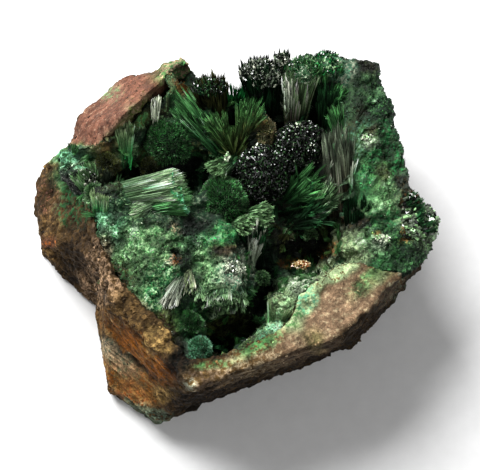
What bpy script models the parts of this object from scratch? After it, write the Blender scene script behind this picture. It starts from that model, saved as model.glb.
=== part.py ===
"""Malachite specimen: a broken block of brown ore rock whose open hollow is lined with malachite.

The block lies on its flat back with the hollow facing up. +X is the right-hand side, +Y the back edge,
+Z up, and the origin is at the middle of the surface that it rests on. Metres throughout: the tables
give millimetres, and MM turns them into metres.

Two pieces grew here, and each is one solid:
  matrix           the brown rock, with its fracture faces, a ledge, a bay in its back edge and the basin
  malachite_crust  the lining that fills the basin, with every sheaf, fan, dome and tuft that grew from it
"""

import math
import random

import bmesh
import bpy
from mathutils import Matrix, Vector, noise

MM = 0.001
# The tables are measured from the middle of the hollow; this point of them is the row's origin.
TABLE_ORIGIN = Vector((-1.95, 2.75, 0.0)) * MM

# Driving dimensions of the rock, in millimetres.
ROCK_TOP = 33.0
STARTING_CUBE = 160.0
ROCK_GRAIN = 1.1
ROCK_TRIANGLES = 2000
ROCK_ROUGHNESS = 0.6
STEP_SIZE = 9.0
STEP_GRAIN = 2.7
FLAT_BASE = 0.6

# Driving dimensions of the hollow and its crust, in millimetres.
HOLLOW_CENTRE = (1.0, 6.0)
HOLLOW_FLOOR = 6.5
RIM_THICKNESS = 3.6
BOWL_POWER = 6.0
BOWL_SHARES = (0.4, 0.7, 0.85, 0.93, 1.0)
LEAST_CRUST = 1.4
GAP = 0.35
SAME_POINT = 0.001
SIDE_MARGIN = 7.0
CUTTER_TOP = 55.0
CRUST_GRAIN = 0.45
CRUST_TRIANGLES = 6800
OVERSIZE = 1.2
SEGMENTS = 60
CRUST_RINGS = 24
DROP_WIDTH = 5.0
VALLEY = 20.0
CRUST_ROUGHNESS = 0.7
BROAD_RELIEF = 3.1
FINE_RELIEF = 1.4
SMOOTH_EDGE = 1.5

# The bay in the back edge, where the hollow breaks out: a tapered groove.
BAY_AXIS = (-4.0, 38.5)
BAY_TOP_RADIUS = 8.6
BAY_FOOT_RADIUS = 6.5
BAY_SIDES = 9

# Domes and sheaves, as shares of their own size.
LARGE_DOME = 3.0
PEBBLE_HEIGHT = 0.22
PEBBLES_ACROSS = 3.4
CROWN_RISE = 0.10
RIB_DEPTH = 0.16
RAGGED_RISE = 0.07
RAGGED_DROP = (0.02, 0.10)

# Fracture faces of each convex block: name, a point on the face, azimuth and elevation of its normal.
MAIN_FACES = [
    ("rest", (0, 0, 0), 0, -90),
    ("top", (0, 0, ROCK_TOP), 0, 90),
    ("red shoulder", (-38.3, 18.7, 26.0), 128, 35),
    ("back left", (-26.8, 34.7, 21.0), 134, 4),
    ("back top left", (-14.2, 37.6, 27.0), 97, 3),
    ("back", (10.0, 36.0, 30.0), 91, 4),
    ("back right corner", (27.5, 35.0, 30.0), 52, 2),
    ("right", (30.2, 24.3, 31.0), 17, -3),
    ("lower right", (29.3, -11.9, 30.0), -41, -4),
    ("lower right corner", (19.0, -22.2, 30.0), -52, -3),
    ("front right", (8.5, -26.0, 30.0), -70, -3),
    ("front", (-5.2, -31.3, 29.0), -69, -9),
    ("front left", (-10.2, -32.1, 28.0), -80, -6),
    ("tan wall", (-26.2, -14.4, 29.0), 222, 8),
    ("left lower wall", (-27.6, -6.0, 28.5), 189, 6),
    ("left shoulder", (-29.0, 9.8, 27.5), 176, 42),
]
TERRACE_FACES = [
    ("rest", (0, 0, 0), 0, -90),
    ("left slope", (-29.0, 9.8, 27.5), 181, 38),
    ("left wall", (-42.0, 12.0, 10.0), 184, 3),
    ("left knee", (-40.2, 19.6, 18.0), 150, 8),
    ("back step", (-35.0, 22.2, 24.0), 112, 6),
    ("red shoulder", (-38.3, 18.7, 26.0), 128, 35),
    ("back left", (-26.8, 34.7, 21.0), 134, 4),
    ("left low corner", (-41.0, 4.8, 10.0), 226, 6),
    ("inside", (-20.0, 0.0, 0.0), 0, 0),
]
LEDGE_FACES = [
    ("rest", (0, 0, 0), 0, -90),
    ("ledge", (-25.6, -19.2, 17.0), 230, 24),
    ("top", (0, 0, 17.5), 0, 90),
    ("left", (-27.4, -20.5, 8.0), 187, 3),
    ("corner", (-22.4, -28.8, 0.0), 234, 4),
    ("front", (-10.0, -29.4, 0.0), -68, -5),
    ("inside right", (-8.0, 0.0, 0.0), 0, 0),
    ("inside back", (0.0, -6.0, 0.0), 90, 0),
]

# The edge of the crust, anticlockwise from the left corner: x, y, height, width of the shelf inside it,
# and 1 where the crust reaches the outside of the block.
CRUST_EDGE = [
    (-36.7, 15.2, 25.0, 6.0, 0),
    (-33.1, 11.2, 26.0, 6.0, 0),
    (-29.4, 6.3, 28.0, 21.0, 0),
    (-28.3, -0.2, 28.5, 24.0, 0),
    (-26.0, -5.9, 29.0, 25.0, 0),
    (-23.5, -10.8, 29.5, 24.0, 0),
    (-19.5, -14.8, 29.5, 16.0, 0),
    (-14.6, -19.8, 29.0, 9.0, 0),
    (-12.6, -22.5, 28.2, 5.0, 0),
    (-9.7, -26.6, 28.5, 2.5, 0),
    (-4.8, -26.2, 29.0, 1.4, 0),
    (-1.5, -24.9, 29.5, 2.0, 0),
    (4.3, -22.4, 30.0, 3.0, 0),
    (9.7, -19.2, 30.5, 4.0, 0),
    (11.3, -14.3, 31.0, 3.0, 0),
    (14.0, -11.2, 31.0, 1.6, 0),
    (18.6, -8.6, 31.0, 1.0, 0),
    (21.5, -6.5, 31.0, 1.0, 0),
    (25.6, -8.0, 30.8, 4.0, 0),
    (29.4, -10.0, 30.3, 8.0, 0),
    (32.8, -7.8, 29.6, 13.0, 1),
    (36.9, -2.2, 29.2, 16.0, 1),
    (39.3, 0.9, 29.0, 16.0, 1),
    (38.2, 5.3, 29.5, 14.0, 1),
    (34.9, 7.1, 30.0, 10.0, 1),
    (32.4, 10.8, 30.0, 8.5, 1),
    (33.6, 14.1, 31.0, 10.0, 1),
    (31.3, 19.2, 31.5, 11.0, 1),
    (30.2, 23.9, 32.0, 12.0, 1),
    (28.3, 30.8, 32.5, 11.0, 1),
    (27.2, 36.2, 33.0, 9.0, 1),
    (21.1, 36.0, 33.0, 5.0, 1),
    (18.2, 36.2, 32.0, 3.0, 1),
    (9.1, 35.8, 30.0, 1.5, 1),
    (1.6, 33.9, 28.0, 1.0, 1),
    (-1.0, 29.8, 26.5, 1.0, 1),
    (-5.7, 30.9, 27.5, 1.0, 1),
    (-9.7, 33.4, 31.0, 1.0, 0),
    (-12.9, 33.6, 32.3, 1.6, 0),
    (-16.5, 30.2, 32.0, 1.6, 0),
    (-20.0, 26.0, 31.6, 1.6, 0),
    (-23.6, 21.9, 31.2, 1.6, 0),
    (-27.0, 18.9, 30.8, 1.8, 0),
    (-32.1, 19.3, 29.4, 4.0, 0),
    (-37.6, 18.0, 26.6, 5.0, 0),
]

# Pits and rises of the valley inside the shelf: x, y, height there, reach along and across, turn.
VALLEY_FORMS = [
    ("dark cavern", -12.5, 14.5, 12.5, 6.0, 3.4, 10),
    ("left hollow", -22.5, 14.0, 15.5, 5.0, 3.2, 10),
    ("upper left slope", -17.0, 22.0, 22.0, 6.0, 4.0, 45),
    ("green slope", -9.0, 23.5, 22.5, 6.0, 4.0, -40),
    ("back saddle", 5.5, 25.0, 21.5, 5.0, 4.0, 0),
    ("centre rise", -3.0, 11.0, 24.0, 4.0, 3.6, 0),
    ("right hollow", 15.5, 9.0, 17.0, 6.0, 5.0, 30),
    ("right foot", 19.0, 17.0, 20.5, 4.0, 5.0, 0),
    ("deep pit", 15.6, -1.8, 11.5, 5.6, 3.6, 0),
    ("side channel", 4.4, -8.0, 14.0, 2.6, 6.0, 0),
    ("bottom pit", -2.5, -18.6, 10.5, 8.5, 4.6, 32),
    ("pale block", -3.8, -4.2, 32.0, 6.6, 9.4, 4),
    ("block foot", -8.6, -9.6, 30.0, 4.6, 5.6, 0),
]

# Lumps of massive malachite on the shelf: x, y, height, reach along and across, turn.
SHELF_LUMPS = [
    ("upper left mass", -19.5, 2.6, 31.6, 8.0, 5.0, 10),
    ("middle mass", -15.0, -4.5, 31.8, 8.0, 5.5, 20),
    ("lower left mass", -15.5, -13.0, 30.6, 5.0, 3.6, 40),
    ("right flank crest", 25.0, 24.0, 34.0, 4.5, 9.0, 12),
    ("right flank foot", 28.5, 8.0, 31.6, 6.0, 8.0, 20),
    ("corner knob", 36.0, 3.0, 31.2, 3.6, 4.0, 30),
    ("top right knob", 24.5, 34.0, 34.2, 3.6, 2.4, 0),
]

# Rounded velvet domes: centre x, y, height of the crown, radii across, along and deep, turn.
DOMES = [
    ("velvet dome left", -14.4, 21.2, 28.6, 5.6, 5.3, 9.0, 20),
    ("small dome left", -18.6, 16.8, 25.2, 2.1, 2.0, 5.0, 0),
    ("olive dome", -19.4, 24.4, 28.4, 2.2, 1.7, 5.0, 30),
    ("velvet dome centre", -3.4, 8.2, 31.6, 5.3, 5.6, 9.5, 0),
    ("black dome left", 4.5, 14.2, 32.0, 5.4, 5.4, 9.5, 20),
    ("black dome right", 12.4, 19.6, 32.4, 5.6, 5.2, 10.0, 0),
    ("teal bulb", -7.9, -23.3, 31.0, 2.6, 2.9, 5.0, 0),
    ("green lump", -9.6, -17.6, 31.2, 3.0, 2.2, 5.0, -30),
    ("silver lump", -13.8, -13.8, 31.8, 2.4, 2.0, 4.0, 30),
    ("channel bulb", 4.4, -7.2, 25.4, 1.7, 1.6, 4.0, 0),
    ("pit bulb", 14.3, 3.0, 22.0, 1.5, 1.4, 4.0, 0),
    ("left corner lump", -29.0, 8.8, 30.0, 2.6, 3.4, 4.0, 0),
]

# Sheaves and fans of needles: root x, y, z; tip x, y, z; radius at root and tip; flatness; turn; ribs.
SHEAVES = [
    ("black fan left", (-3.8, 23.6, 16), (-6.2, 30.0, 30.5), 1.3, 4.0, 0.7, 0, 9),
    ("bay spikes", (-1.0, 26.0, 18), (-0.8, 30.6, 29.5), 1.0, 2.2, 0.8, 0, 6),
    ("star fan left", (-1.2, 19.0, 22), (-6.0, 24.4, 29.5), 0.8, 2.8, 0.6, 0, 8),
    ("star fan right", (-1.2, 19.0, 22), (3.4, 25.6, 31.0), 0.8, 3.3, 0.6, 0, 8),
    ("black fan back", (5.6, 25.5, 16), (4.6, 33.4, 33.2), 2.2, 4.9, 0.75, 0, 10),
    ("back spike", (8.6, 28.0, 20), (8.4, 35.4, 35.0), 0.8, 1.5, 0.9, 0, 6),
    ("silver sheaf", (11.0, 23.5, 20), (12.0, 32.4, 34.6), 1.8, 3.3, 0.8, 0, 9),
    ("back tuft left", (13.0, 30.0, 22), (13.6, 34.4, 34.6), 1.6, 2.6, 0.9, 0, 7),
    ("back tuft right", (17.4, 29.0, 22), (17.4, 34.8, 34.9), 1.8, 3.0, 0.9, 0, 8),
    ("dark fan back right", (17.0, 22.0, 20), (18.6, 29.6, 32.0), 1.0, 3.0, 0.6, 0, 8),
    ("grey sheaf", (21.6, 2.0, 15), (19.6, 19.6, 31.2), 2.4, 3.7, 0.75, 0, 10),
    ("grey sheaf foot", (23.4, -2.0, 18), (23.6, 6.4, 29.0), 1.6, 3.0, 0.7, 0, 8),
    ("green fan right", (6.4, 8.0, 18), (15.6, 12.0, 27.4), 1.2, 3.3, 0.6, 0, 8),
    ("brown fan right", (8.0, 5.0, 17), (17.0, 6.6, 25.4), 1.2, 3.2, 0.6, 0, 8),
    ("channel fan", (-0.6, 6.6, 20), (5.2, 3.8, 28.6), 1.0, 2.6, 0.6, 0, 8),
    ("channel fan low", (-2.6, 4.4, 22), (1.8, 1.2, 30.4), 1.0, 2.4, 0.6, 0, 7),
    ("black spray", (3.4, -6.0, 16), (3.2, 0.6, 29.0), 0.8, 1.7, 0.9, 0, 6),
    ("pale rim fan", (-23.2, 16.4, 23), (-21.4, 22.8, 31.4), 1.0, 2.4, 0.45, 30, 7),
    ("rim glint", (-17.2, 23.6, 24), (-16.8, 28.2, 31.8), 0.7, 1.3, 0.6, 30, 5),
    ("green slope sheaf", (-1.6, 18.4, 19), (-13.4, 28.0, 28.6), 2.0, 4.8, 0.45, 20, 11),
    ("green ridge", (-1.0, 17.6, 24), (-5.0, 12.6, 31.0), 0.9, 2.0, 0.7, 0, 6),
    ("sheaf block", (-26.6, 6.8, 28.6), (-11.2, 8.6, 32.2), 3.4, 4.5, 0.85, 0, 12),
    ("sheaf block cap", (-27.6, 4.0, 26), (-27.2, 8.4, 31.4), 1.6, 2.6, 0.8, 0, 7),
    ("pale block tip", (-3.0, -3.0, 27), (-3.2, -14.2, 29.6), 3.6, 4.6, 0.8, 0, 11),
    ("pale block flank", (-8.4, -4.0, 26), (-8.2, -13.6, 28.8), 2.0, 3.0, 0.8, 0, 8),
    ("band fan", (6.4, -20.4, 24), (9.0, -14.6, 32.0), 1.2, 3.7, 0.6, 20, 9),
    ("corner fan", (32.0, 0.0, 26), (37.6, 2.6, 31.4), 1.4, 3.1, 0.7, 0, 8),
    ("corner fan upper", (31.0, 4.4, 26), (35.2, 6.6, 31.6), 1.2, 2.3, 0.8, 0, 7),
    ("left corner fan", (-29.4, 10.0, 22), (-32.6, 14.6, 29.6), 1.4, 3.1, 0.7, 0, 8),
    ("left corner fan low", (-27.0, 9.8, 20), (-28.6, 13.6, 27.6), 1.0, 2.3, 0.7, 0, 7),
]


def new_mesh_object(name, bm, collection):
    """An object whose mesh is the finished bmesh, with its faces pointing outwards."""
    bmesh.ops.recalc_face_normals(bm, faces=bm.faces)
    if bm.calc_volume(signed=True) < 0.0:
        bmesh.ops.reverse_faces(bm, faces=bm.faces)
    mesh = bpy.data.meshes.new(name)
    bm.to_mesh(mesh)
    bm.free()
    made = bpy.data.objects.new(name, mesh)
    collection.objects.link(made)
    return made


def make_helper(made):
    """Marks a cutter or an operand, which isn't a piece of the specimen."""
    made.hide_render = True
    made.display_type = "WIRE"
    return made


def applied_mesh(made):
    """The object's mesh as its modifiers leave it."""
    bpy.context.view_layer.update()
    graph = bpy.context.evaluated_depsgraph_get()
    return bpy.data.meshes.new_from_object(made.evaluated_get(graph))


def add_boolean(made, operation, operand=None, operands=None):
    """A Boolean modifier with one operand, or with every object of a collection."""
    modifier = made.modifiers.new(operation.title(), "BOOLEAN")
    modifier.operation = operation
    modifier.solver = "EXACT"
    if operands is None:
        modifier.object = operand
    else:
        modifier.operand_type = "COLLECTION"
        modifier.collection = operands


def direction(azimuth, elevation):
    """Unit vector from its compass azimuth and its elevation, in degrees."""
    a, e = math.radians(azimuth), math.radians(elevation)
    return Vector((math.cos(a) * math.cos(e), math.sin(a) * math.cos(e), math.sin(e)))


def fracture_block(name, faces, collection):
    """A convex block of rock: a cube split off along each fracture face."""
    bm = bmesh.new()
    bmesh.ops.create_cube(bm, size=STARTING_CUBE * MM)
    for _, point, azimuth, elevation in faces:
        cut = bmesh.ops.bisect_plane(
            bm,
            geom=bm.verts[:] + bm.edges[:] + bm.faces[:],
            plane_co=Vector(point) * MM,
            plane_no=direction(azimuth, elevation),
            clear_outer=True,
        )
        edges = [g for g in cut["geom_cut"] if isinstance(g, bmesh.types.BMEdge)]
        bmesh.ops.contextual_create(bm, geom=edges)
    return new_mesh_object(name, bm, collection)


def broken_surface(point):
    """Height of a rough break at a point, in metres: broad steps with a grain of half their height."""
    p = point / (STEP_SIZE * MM)
    return (noise.noise(p) + 0.5 * noise.noise(p * STEP_GRAIN)) * ROCK_ROUGHNESS * MM


def fuse(made, grain):
    """Makes whatever the object's modifiers join into one closed skin with an even grain."""
    skin = made.modifiers.new("Skin", "REMESH")
    skin.mode = "VOXEL"
    skin.voxel_size = grain * MM
    made.data = applied_mesh(made)
    made.modifiers.clear()


def thin_out(made, triangles):
    """Leaves the faces that show the form: flats lose most of theirs."""
    thin = made.modifiers.new("Thin", "DECIMATE")
    thin.ratio = triangles / (2.0 * len(made.data.polygons))
    made.data = applied_mesh(made)
    made.modifiers.clear()


def roughen(rock):
    """Gives the block the relief of a break all over, except on the flat that it rests on."""
    moves = [v.normal * broken_surface(v.co) for v in rock.data.vertices]
    for vert, move in zip(rock.data.vertices, moves):
        if vert.co.z < FLAT_BASE * MM:
            vert.co.z = 0.0
        else:
            vert.co += move


class Outline:
    """The crust's edge in polar form about the middle of the hollow."""

    def __init__(self, edge, centre):
        self.centre = centre
        rows = []
        for x, y, height, shelf, outside in edge:
            dx, dy = x - centre[0], y - centre[1]
            rows.append((math.atan2(dy, dx) % math.tau, math.hypot(dx, dy), height, shelf, outside))
        rows.sort()
        first, last = rows[0], rows[-1]
        before = (last[0] - math.tau,) + last[1:]
        after = (first[0] + math.tau,) + first[1:]
        self.rows = [before] + rows + [after]

    def at(self, angle):
        """Radius, height, shelf width and outside flag where a ray at this angle leaves the crust."""
        angle %= math.tau
        for low, high in zip(self.rows, self.rows[1:]):
            if low[0] <= angle <= high[0]:
                share = (angle - low[0]) / max(high[0] - low[0], 1e-9)
                return [a + (b - a) * share for a, b in zip(low[1:], high[1:])]
        return list(self.rows[0][1:])


def smooth_step(value):
    """0 below 0, 1 above 1, and smooth between."""
    t = min(1.0, max(0.0, value))
    return t * t * (3.0 - 2.0 * t)


def form_weight(x, y, form):
    """How much a pit, rise or lump counts at x, y: 1 over its middle and 0 well outside it."""
    _, fx, fy, _, along, across, turn = form
    t = math.radians(turn)
    u = ((x - fx) * math.cos(t) + (y - fy) * math.sin(t)) / along
    v = (-(x - fx) * math.sin(t) + (y - fy) * math.cos(t)) / across
    return math.exp(-((u * u + v * v) ** 1.5))


def bowl_height(share, edge_height):
    """Height of the crust's underside at this share of the way out, straight between its rings."""
    shares = (0.0,) + BOWL_SHARES
    rise = edge_height - RIM_THICKNESS - HOLLOW_FLOOR
    for low, high in zip(shares, shares[1:]):
        if share <= high:
            t = (share - low) / (high - low)
            return HOLLOW_FLOOR + rise * (low**BOWL_POWER * (1.0 - t) + high**BOWL_POWER * t)
    return HOLLOW_FLOOR + rise


def crust_height(x, y, inset, edge_height, shelf):
    """Height of the crust's surface, before its sheaves: a shelf round the edge and a valley inside."""
    valley = VALLEY
    for form in VALLEY_FORMS:
        valley += (form[3] - valley) * form_weight(x, y, form)
    ground = edge_height
    for form in SHELF_LUMPS:
        ground += (form[3] - ground) * form_weight(x, y, form)
    drop = smooth_step((inset - shelf) / DROP_WIDTH)
    height = ground + (valley - ground) * drop
    place = Vector((x, y, height))
    relief = noise.noise(place / BROAD_RELIEF) + 0.6 * noise.noise(place / FINE_RELIEF)
    return height + CRUST_ROUGHNESS * relief * smooth_step(inset / SMOOTH_EDGE)


def ring_of_verts(bm, outline, share, radius_of, height_of):
    """One ring of vertices at a share of the way out, each placed by the two functions."""
    ring = []
    for i in range(SEGMENTS):
        angle = math.tau * i / SEGMENTS
        edge = outline.at(angle)
        radius = radius_of(share, edge)
        x = outline.centre[0] + radius * math.cos(angle)
        y = outline.centre[1] + radius * math.sin(angle)
        ring.append(bm.verts.new(Vector((x, y, height_of(share, x, y, edge))) * MM))
    return ring


def join_rings(bm, rings):
    """A band of faces between each ring and the next."""
    for inner, outer in zip(rings, rings[1:]):
        for i in range(SEGMENTS):
            j = (i + 1) % SEGMENTS
            bm.faces.new((inner[i], outer[i], outer[j], inner[j]))


def close_ring(bm, ring, height):
    """A fan of faces from a middle vertex to a ring."""
    x, y = HOLLOW_CENTRE
    middle = bm.verts.new(Vector((x, y, height)) * MM)
    for i in range(SEGMENTS):
        bm.faces.new((middle, ring[i], ring[(i + 1) % SEGMENTS]))


def basin_shape(name, outline, clearance, collection):
    """The room of the crust, or with a clearance the bowl in the rock, open upwards and at the side."""
    bm = bmesh.new()

    def bowl_of(share, x, y, edge):
        return bowl_height(share, edge[1]) - clearance

    def bowl_radius(share, edge):
        return share * (edge[0] - GAP + clearance)

    def brim_radius(share, edge):
        return edge[0] + (clearance - GAP) * (1.0 - edge[3]) + SIDE_MARGIN * edge[3]

    def lid_height(share, x, y, edge):
        return CUTTER_TOP

    bowl = [ring_of_verts(bm, outline, share, bowl_radius, bowl_of) for share in BOWL_SHARES]
    brim = ring_of_verts(bm, outline, 1.0, brim_radius, bowl_of)
    lid = ring_of_verts(bm, outline, 1.0, brim_radius, lid_height)
    join_rings(bm, bowl + [brim, lid])
    close_ring(bm, bowl[0], HOLLOW_FLOOR - clearance)
    close_ring(bm, lid, CUTTER_TOP)
    bmesh.ops.remove_doubles(bm, verts=bm.verts, dist=SAME_POINT * MM)
    return make_helper(new_mesh_object(name, bm, collection))


def bay_cutter(collection):
    """The groove in the back edge, where the hollow breaks out of the block."""
    bm = bmesh.new()
    bmesh.ops.create_cone(
        bm,
        cap_ends=True,
        segments=BAY_SIDES,
        radius1=BAY_FOOT_RADIUS * MM,
        radius2=BAY_TOP_RADIUS * MM,
        depth=1.4 * ROCK_TOP * MM,
        matrix=Matrix.Translation(Vector((*BAY_AXIS, ROCK_TOP / 2)) * MM),
    )
    return make_helper(new_mesh_object("bay_cutter", bm, collection))


def crust_bed(outline, collection):
    """The crust without its sheaves: shelf, lumps and valley above, and larger than its room below."""
    bm = bmesh.new()

    def bed_radius(share, edge):
        return share * (edge[0] + OVERSIZE * (1.0 - edge[3]))

    def top_of(share, x, y, edge):
        height = crust_height(x, y, (1.0 - share) * edge[0], edge[1], edge[2])
        return max(height, bowl_height(share, edge[1]) + LEAST_CRUST)

    def foot_of(share, x, y, edge):
        return bowl_height(share, edge[1]) - OVERSIZE

    top_shares = [(k / CRUST_RINGS) ** 0.85 for k in range(1, CRUST_RINGS + 1)]
    top_rings = [ring_of_verts(bm, outline, share, bed_radius, top_of) for share in top_shares]
    foot_rings = [ring_of_verts(bm, outline, share, bed_radius, foot_of) for share in BOWL_SHARES[::-1]]
    join_rings(bm, top_rings + foot_rings)
    x, y = HOLLOW_CENTRE
    close_ring(bm, top_rings[0], top_of(0.0, x, y, outline.at(0.0)))
    close_ring(bm, foot_rings[-1], HOLLOW_FLOOR - OVERSIZE)
    return new_mesh_object("malachite_crust", bm, collection)


def dome(form, collection):
    """A rounded dome of needle tips, pebbled all over."""
    name, x, y, crown, across, along, deep, turn = form
    bm = bmesh.new()
    bmesh.ops.create_icosphere(bm, subdivisions=3 if across > LARGE_DOME else 2, radius=1.0)
    for vert in bm.verts:
        pebble = 1.0 + PEBBLE_HEIGHT * noise.noise(vert.co * PEBBLES_ACROSS + Vector((x, y, crown)))
        vert.co = Vector((vert.co.x * across, vert.co.y * along, vert.co.z * deep)) * pebble * MM
    place = Matrix.Translation(Vector((x, y, crown - deep)) * MM)
    bm.transform(place @ Matrix.Rotation(math.radians(turn), 4, "Z"))
    return make_helper(new_mesh_object(name.replace(" ", "_"), bm, collection))


def sheaf(form, collection, chance):
    """A sheaf of needles: a ribbed cone that widens from its root, with a ragged domed end."""
    name, root, tip, root_radius, tip_radius, flatness, turn, ribs = form
    root, tip = Vector(root) * MM, Vector(tip) * MM
    length = (tip - root).length
    bm = bmesh.new()
    bmesh.ops.create_cone(
        bm,
        cap_ends=True,
        segments=2 * ribs,
        radius1=root_radius * MM,
        radius2=tip_radius * MM,
        depth=length,
    )
    end_face = max(bm.faces, key=lambda f: f.calc_center_median().z)
    crown = bmesh.ops.poke(bm, faces=[end_face])["verts"][0]
    crown.co.z += CROWN_RISE * length
    rim = sorted(
        (v for v in bm.verts if v is not crown and v.co.z > 0.0),
        key=lambda v: math.atan2(v.co.y, v.co.x),
    )
    for i, vert in enumerate(rim):
        if i % 2:
            vert.co.x *= 1.0 - RIB_DEPTH
            vert.co.y *= 1.0 - RIB_DEPTH
            vert.co.z += length * chance.uniform(0.0, RAGGED_RISE)
        else:
            vert.co.z -= length * chance.uniform(*RAGGED_DROP)
    bmesh.ops.scale(bm, vec=(1.0, flatness, 1.0), verts=bm.verts)
    lean = (tip - root).to_track_quat("Z", "Y").to_matrix().to_4x4()
    bm.transform(
        Matrix.Translation((root + tip) / 2) @ lean @ Matrix.Rotation(math.radians(turn), 4, "Z")
    )
    return make_helper(new_mesh_object(name.replace(" ", "_"), bm, collection))


def stone_material(name, colour, roughness):
    """A plain Principled finish in the piece's own colour."""
    made = bpy.data.materials.new(name)
    made.use_nodes = True
    shader = made.node_tree.nodes["Principled BSDF"]
    shader.inputs["Base Color"].default_value = (*colour, 1.0)
    shader.inputs["Roughness"].default_value = roughness
    shader.inputs["Metallic"].default_value = 0.0
    return made


def build_matrix(outline, pieces, helpers):
    """The rock: three blocks grown together, broken all over, with the bay and the basin taken out."""
    rock = fracture_block("matrix", MAIN_FACES, pieces)
    terrace = make_helper(fracture_block("left_terrace", TERRACE_FACES, helpers))
    ledge = make_helper(fracture_block("lower_left_ledge", LEDGE_FACES, helpers))
    add_boolean(rock, "UNION", terrace)
    add_boolean(rock, "UNION", ledge)
    add_boolean(rock, "DIFFERENCE", bay_cutter(helpers))
    fuse(rock, ROCK_GRAIN)
    roughen(rock)
    thin_out(rock, ROCK_TRIANGLES)
    add_boolean(rock, "DIFFERENCE", basin_shape("basin_cutter", outline, GAP, helpers))
    rock.data.materials.clear()
    rock.data.materials.append(stone_material("ore_rock", (0.16, 0.085, 0.05), 0.85))
    return rock


def keep_outer_shell(mesh):
    """Fills the pockets that leaning sheaves shut in: only the largest shell of faces stays."""
    bm = bmesh.new()
    bm.from_mesh(mesh)
    waiting = set(bm.verts)
    shells = []
    while waiting:
        shell, edge_of_search = set(), [waiting.pop()]
        while edge_of_search:
            vert = edge_of_search.pop()
            shell.add(vert)
            near = {e.other_vert(vert) for e in vert.link_edges} & waiting
            waiting -= near
            edge_of_search.extend(near)
        shells.append(shell)
    shells.sort(key=len)
    for shell in shells[:-1]:
        bmesh.ops.delete(bm, geom=list(shell), context="VERTS")
    bm.to_mesh(mesh)
    bm.free()


def build_crust(outline, pieces, helpers):
    """The malachite: the bed with every dome and sheaf joined to it, shaped below by the basin."""
    growths = bpy.data.collections.new("growths")
    helpers.children.link(growths)
    chance = random.Random(7)
    for form in DOMES:
        dome(form, growths)
    for form in SHEAVES:
        sheaf(form, growths, chance)
    crust = crust_bed(outline, pieces)
    add_boolean(crust, "UNION", operands=growths)
    fuse(crust, CRUST_GRAIN)
    keep_outer_shell(crust.data)
    thin_out(crust, CRUST_TRIANGLES)
    add_boolean(crust, "INTERSECT", basin_shape("basin_room", outline, 0.0, helpers))
    crust.data.materials.append(stone_material("malachite", (0.025, 0.16, 0.055), 0.5))
    return crust


def main():
    for old in list(bpy.data.objects):
        bpy.data.objects.remove(old)
    pieces = bpy.data.collections.new("malachite_specimen")
    helpers = bpy.data.collections.new("cutters")
    bpy.context.scene.collection.children.link(pieces)
    bpy.context.scene.collection.children.link(helpers)
    outline = Outline(CRUST_EDGE, HOLLOW_CENTRE)
    for made in (build_matrix(outline, pieces, helpers), build_crust(outline, pieces, helpers)):
        made.data = applied_mesh(made)
        made.modifiers.clear()
        made.data.transform(Matrix.Translation(-TABLE_ORIGIN))


main()
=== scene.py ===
import math

import bpy
import numpy as np
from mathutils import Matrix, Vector, noise


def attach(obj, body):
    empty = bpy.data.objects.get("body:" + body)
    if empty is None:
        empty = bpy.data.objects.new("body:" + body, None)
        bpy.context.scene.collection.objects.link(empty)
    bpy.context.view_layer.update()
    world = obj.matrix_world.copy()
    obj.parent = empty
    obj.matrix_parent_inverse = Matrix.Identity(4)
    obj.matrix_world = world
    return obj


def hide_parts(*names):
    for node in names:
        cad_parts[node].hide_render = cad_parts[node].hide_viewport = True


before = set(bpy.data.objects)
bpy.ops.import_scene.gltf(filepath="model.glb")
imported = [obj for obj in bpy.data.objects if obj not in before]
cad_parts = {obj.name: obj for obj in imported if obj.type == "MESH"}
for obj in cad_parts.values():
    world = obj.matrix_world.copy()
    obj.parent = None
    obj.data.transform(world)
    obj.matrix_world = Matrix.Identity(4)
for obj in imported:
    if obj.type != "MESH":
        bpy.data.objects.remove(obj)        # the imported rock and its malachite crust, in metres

mm = 0.001
noise.seed_set(7)      # the swirls of the noise are the same each run
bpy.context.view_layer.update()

# colours, as sRGB out of 255; everything else names one of these
palette = {
    "ink": (8, 12, 8),
    "bottle": (14, 44, 22),
    "forest": (32, 74, 40),
    "emerald": (34, 116, 58),
    "leaf": (72, 128, 70),
    "mint": (132, 172, 118),
    "frost": (206, 218, 190),
    "turquoise": (112, 180, 138),
    "moss": (84, 94, 42),
    "olive": (56, 58, 28),
    "slate": (84, 96, 78),
    "silver": (200, 206, 184),
    "bark": (34, 25, 15),
    "umber": (62, 46, 25),
    "clay": (98, 76, 44),
    "sand": (138, 112, 66),
    "ochre": (132, 78, 22),
    "rust": (166, 78, 22),
    "brick": (112, 74, 58),
    "rose": (150, 122, 100),
    "drab": (130, 106, 82),
    "fawn": (158, 140, 110),
    "cream": (214, 198, 154),
    "celery": (166, 188, 138),
    "fern": (58, 92, 54),
}


def linear(name):
    srgb = np.array(palette[name]) / 255.0
    return np.where(srgb <= 0.04045, srgb / 12.92, ((srgb + 0.055) / 1.055) ** 2.4)


tint = {name: linear(name) for name in palette}

# the camera comes first, because many places below are read through it
lensView = {
    "aim": (1.95, -2.75, 28.0),      # mm, at the middle of the picture
    "elevation": 72.0,
    "distance": 400.0,
    "lens": 151.5,
    "sensor": 36.0,
    "across": 480,
    "down": 470,
}
tilt = math.radians(lensView["elevation"])
towardCamera = Vector((0.0, -math.cos(tilt), math.sin(tilt)))
cameraUp = Vector((0.0, math.sin(tilt), math.cos(tilt)))
cameraPlace = (Vector(lensView["aim"]) + towardCamera * lensView["distance"]) * mm
pixelsAtOne = lensView["lens"] / lensView["sensor"] * lensView["across"]

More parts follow.
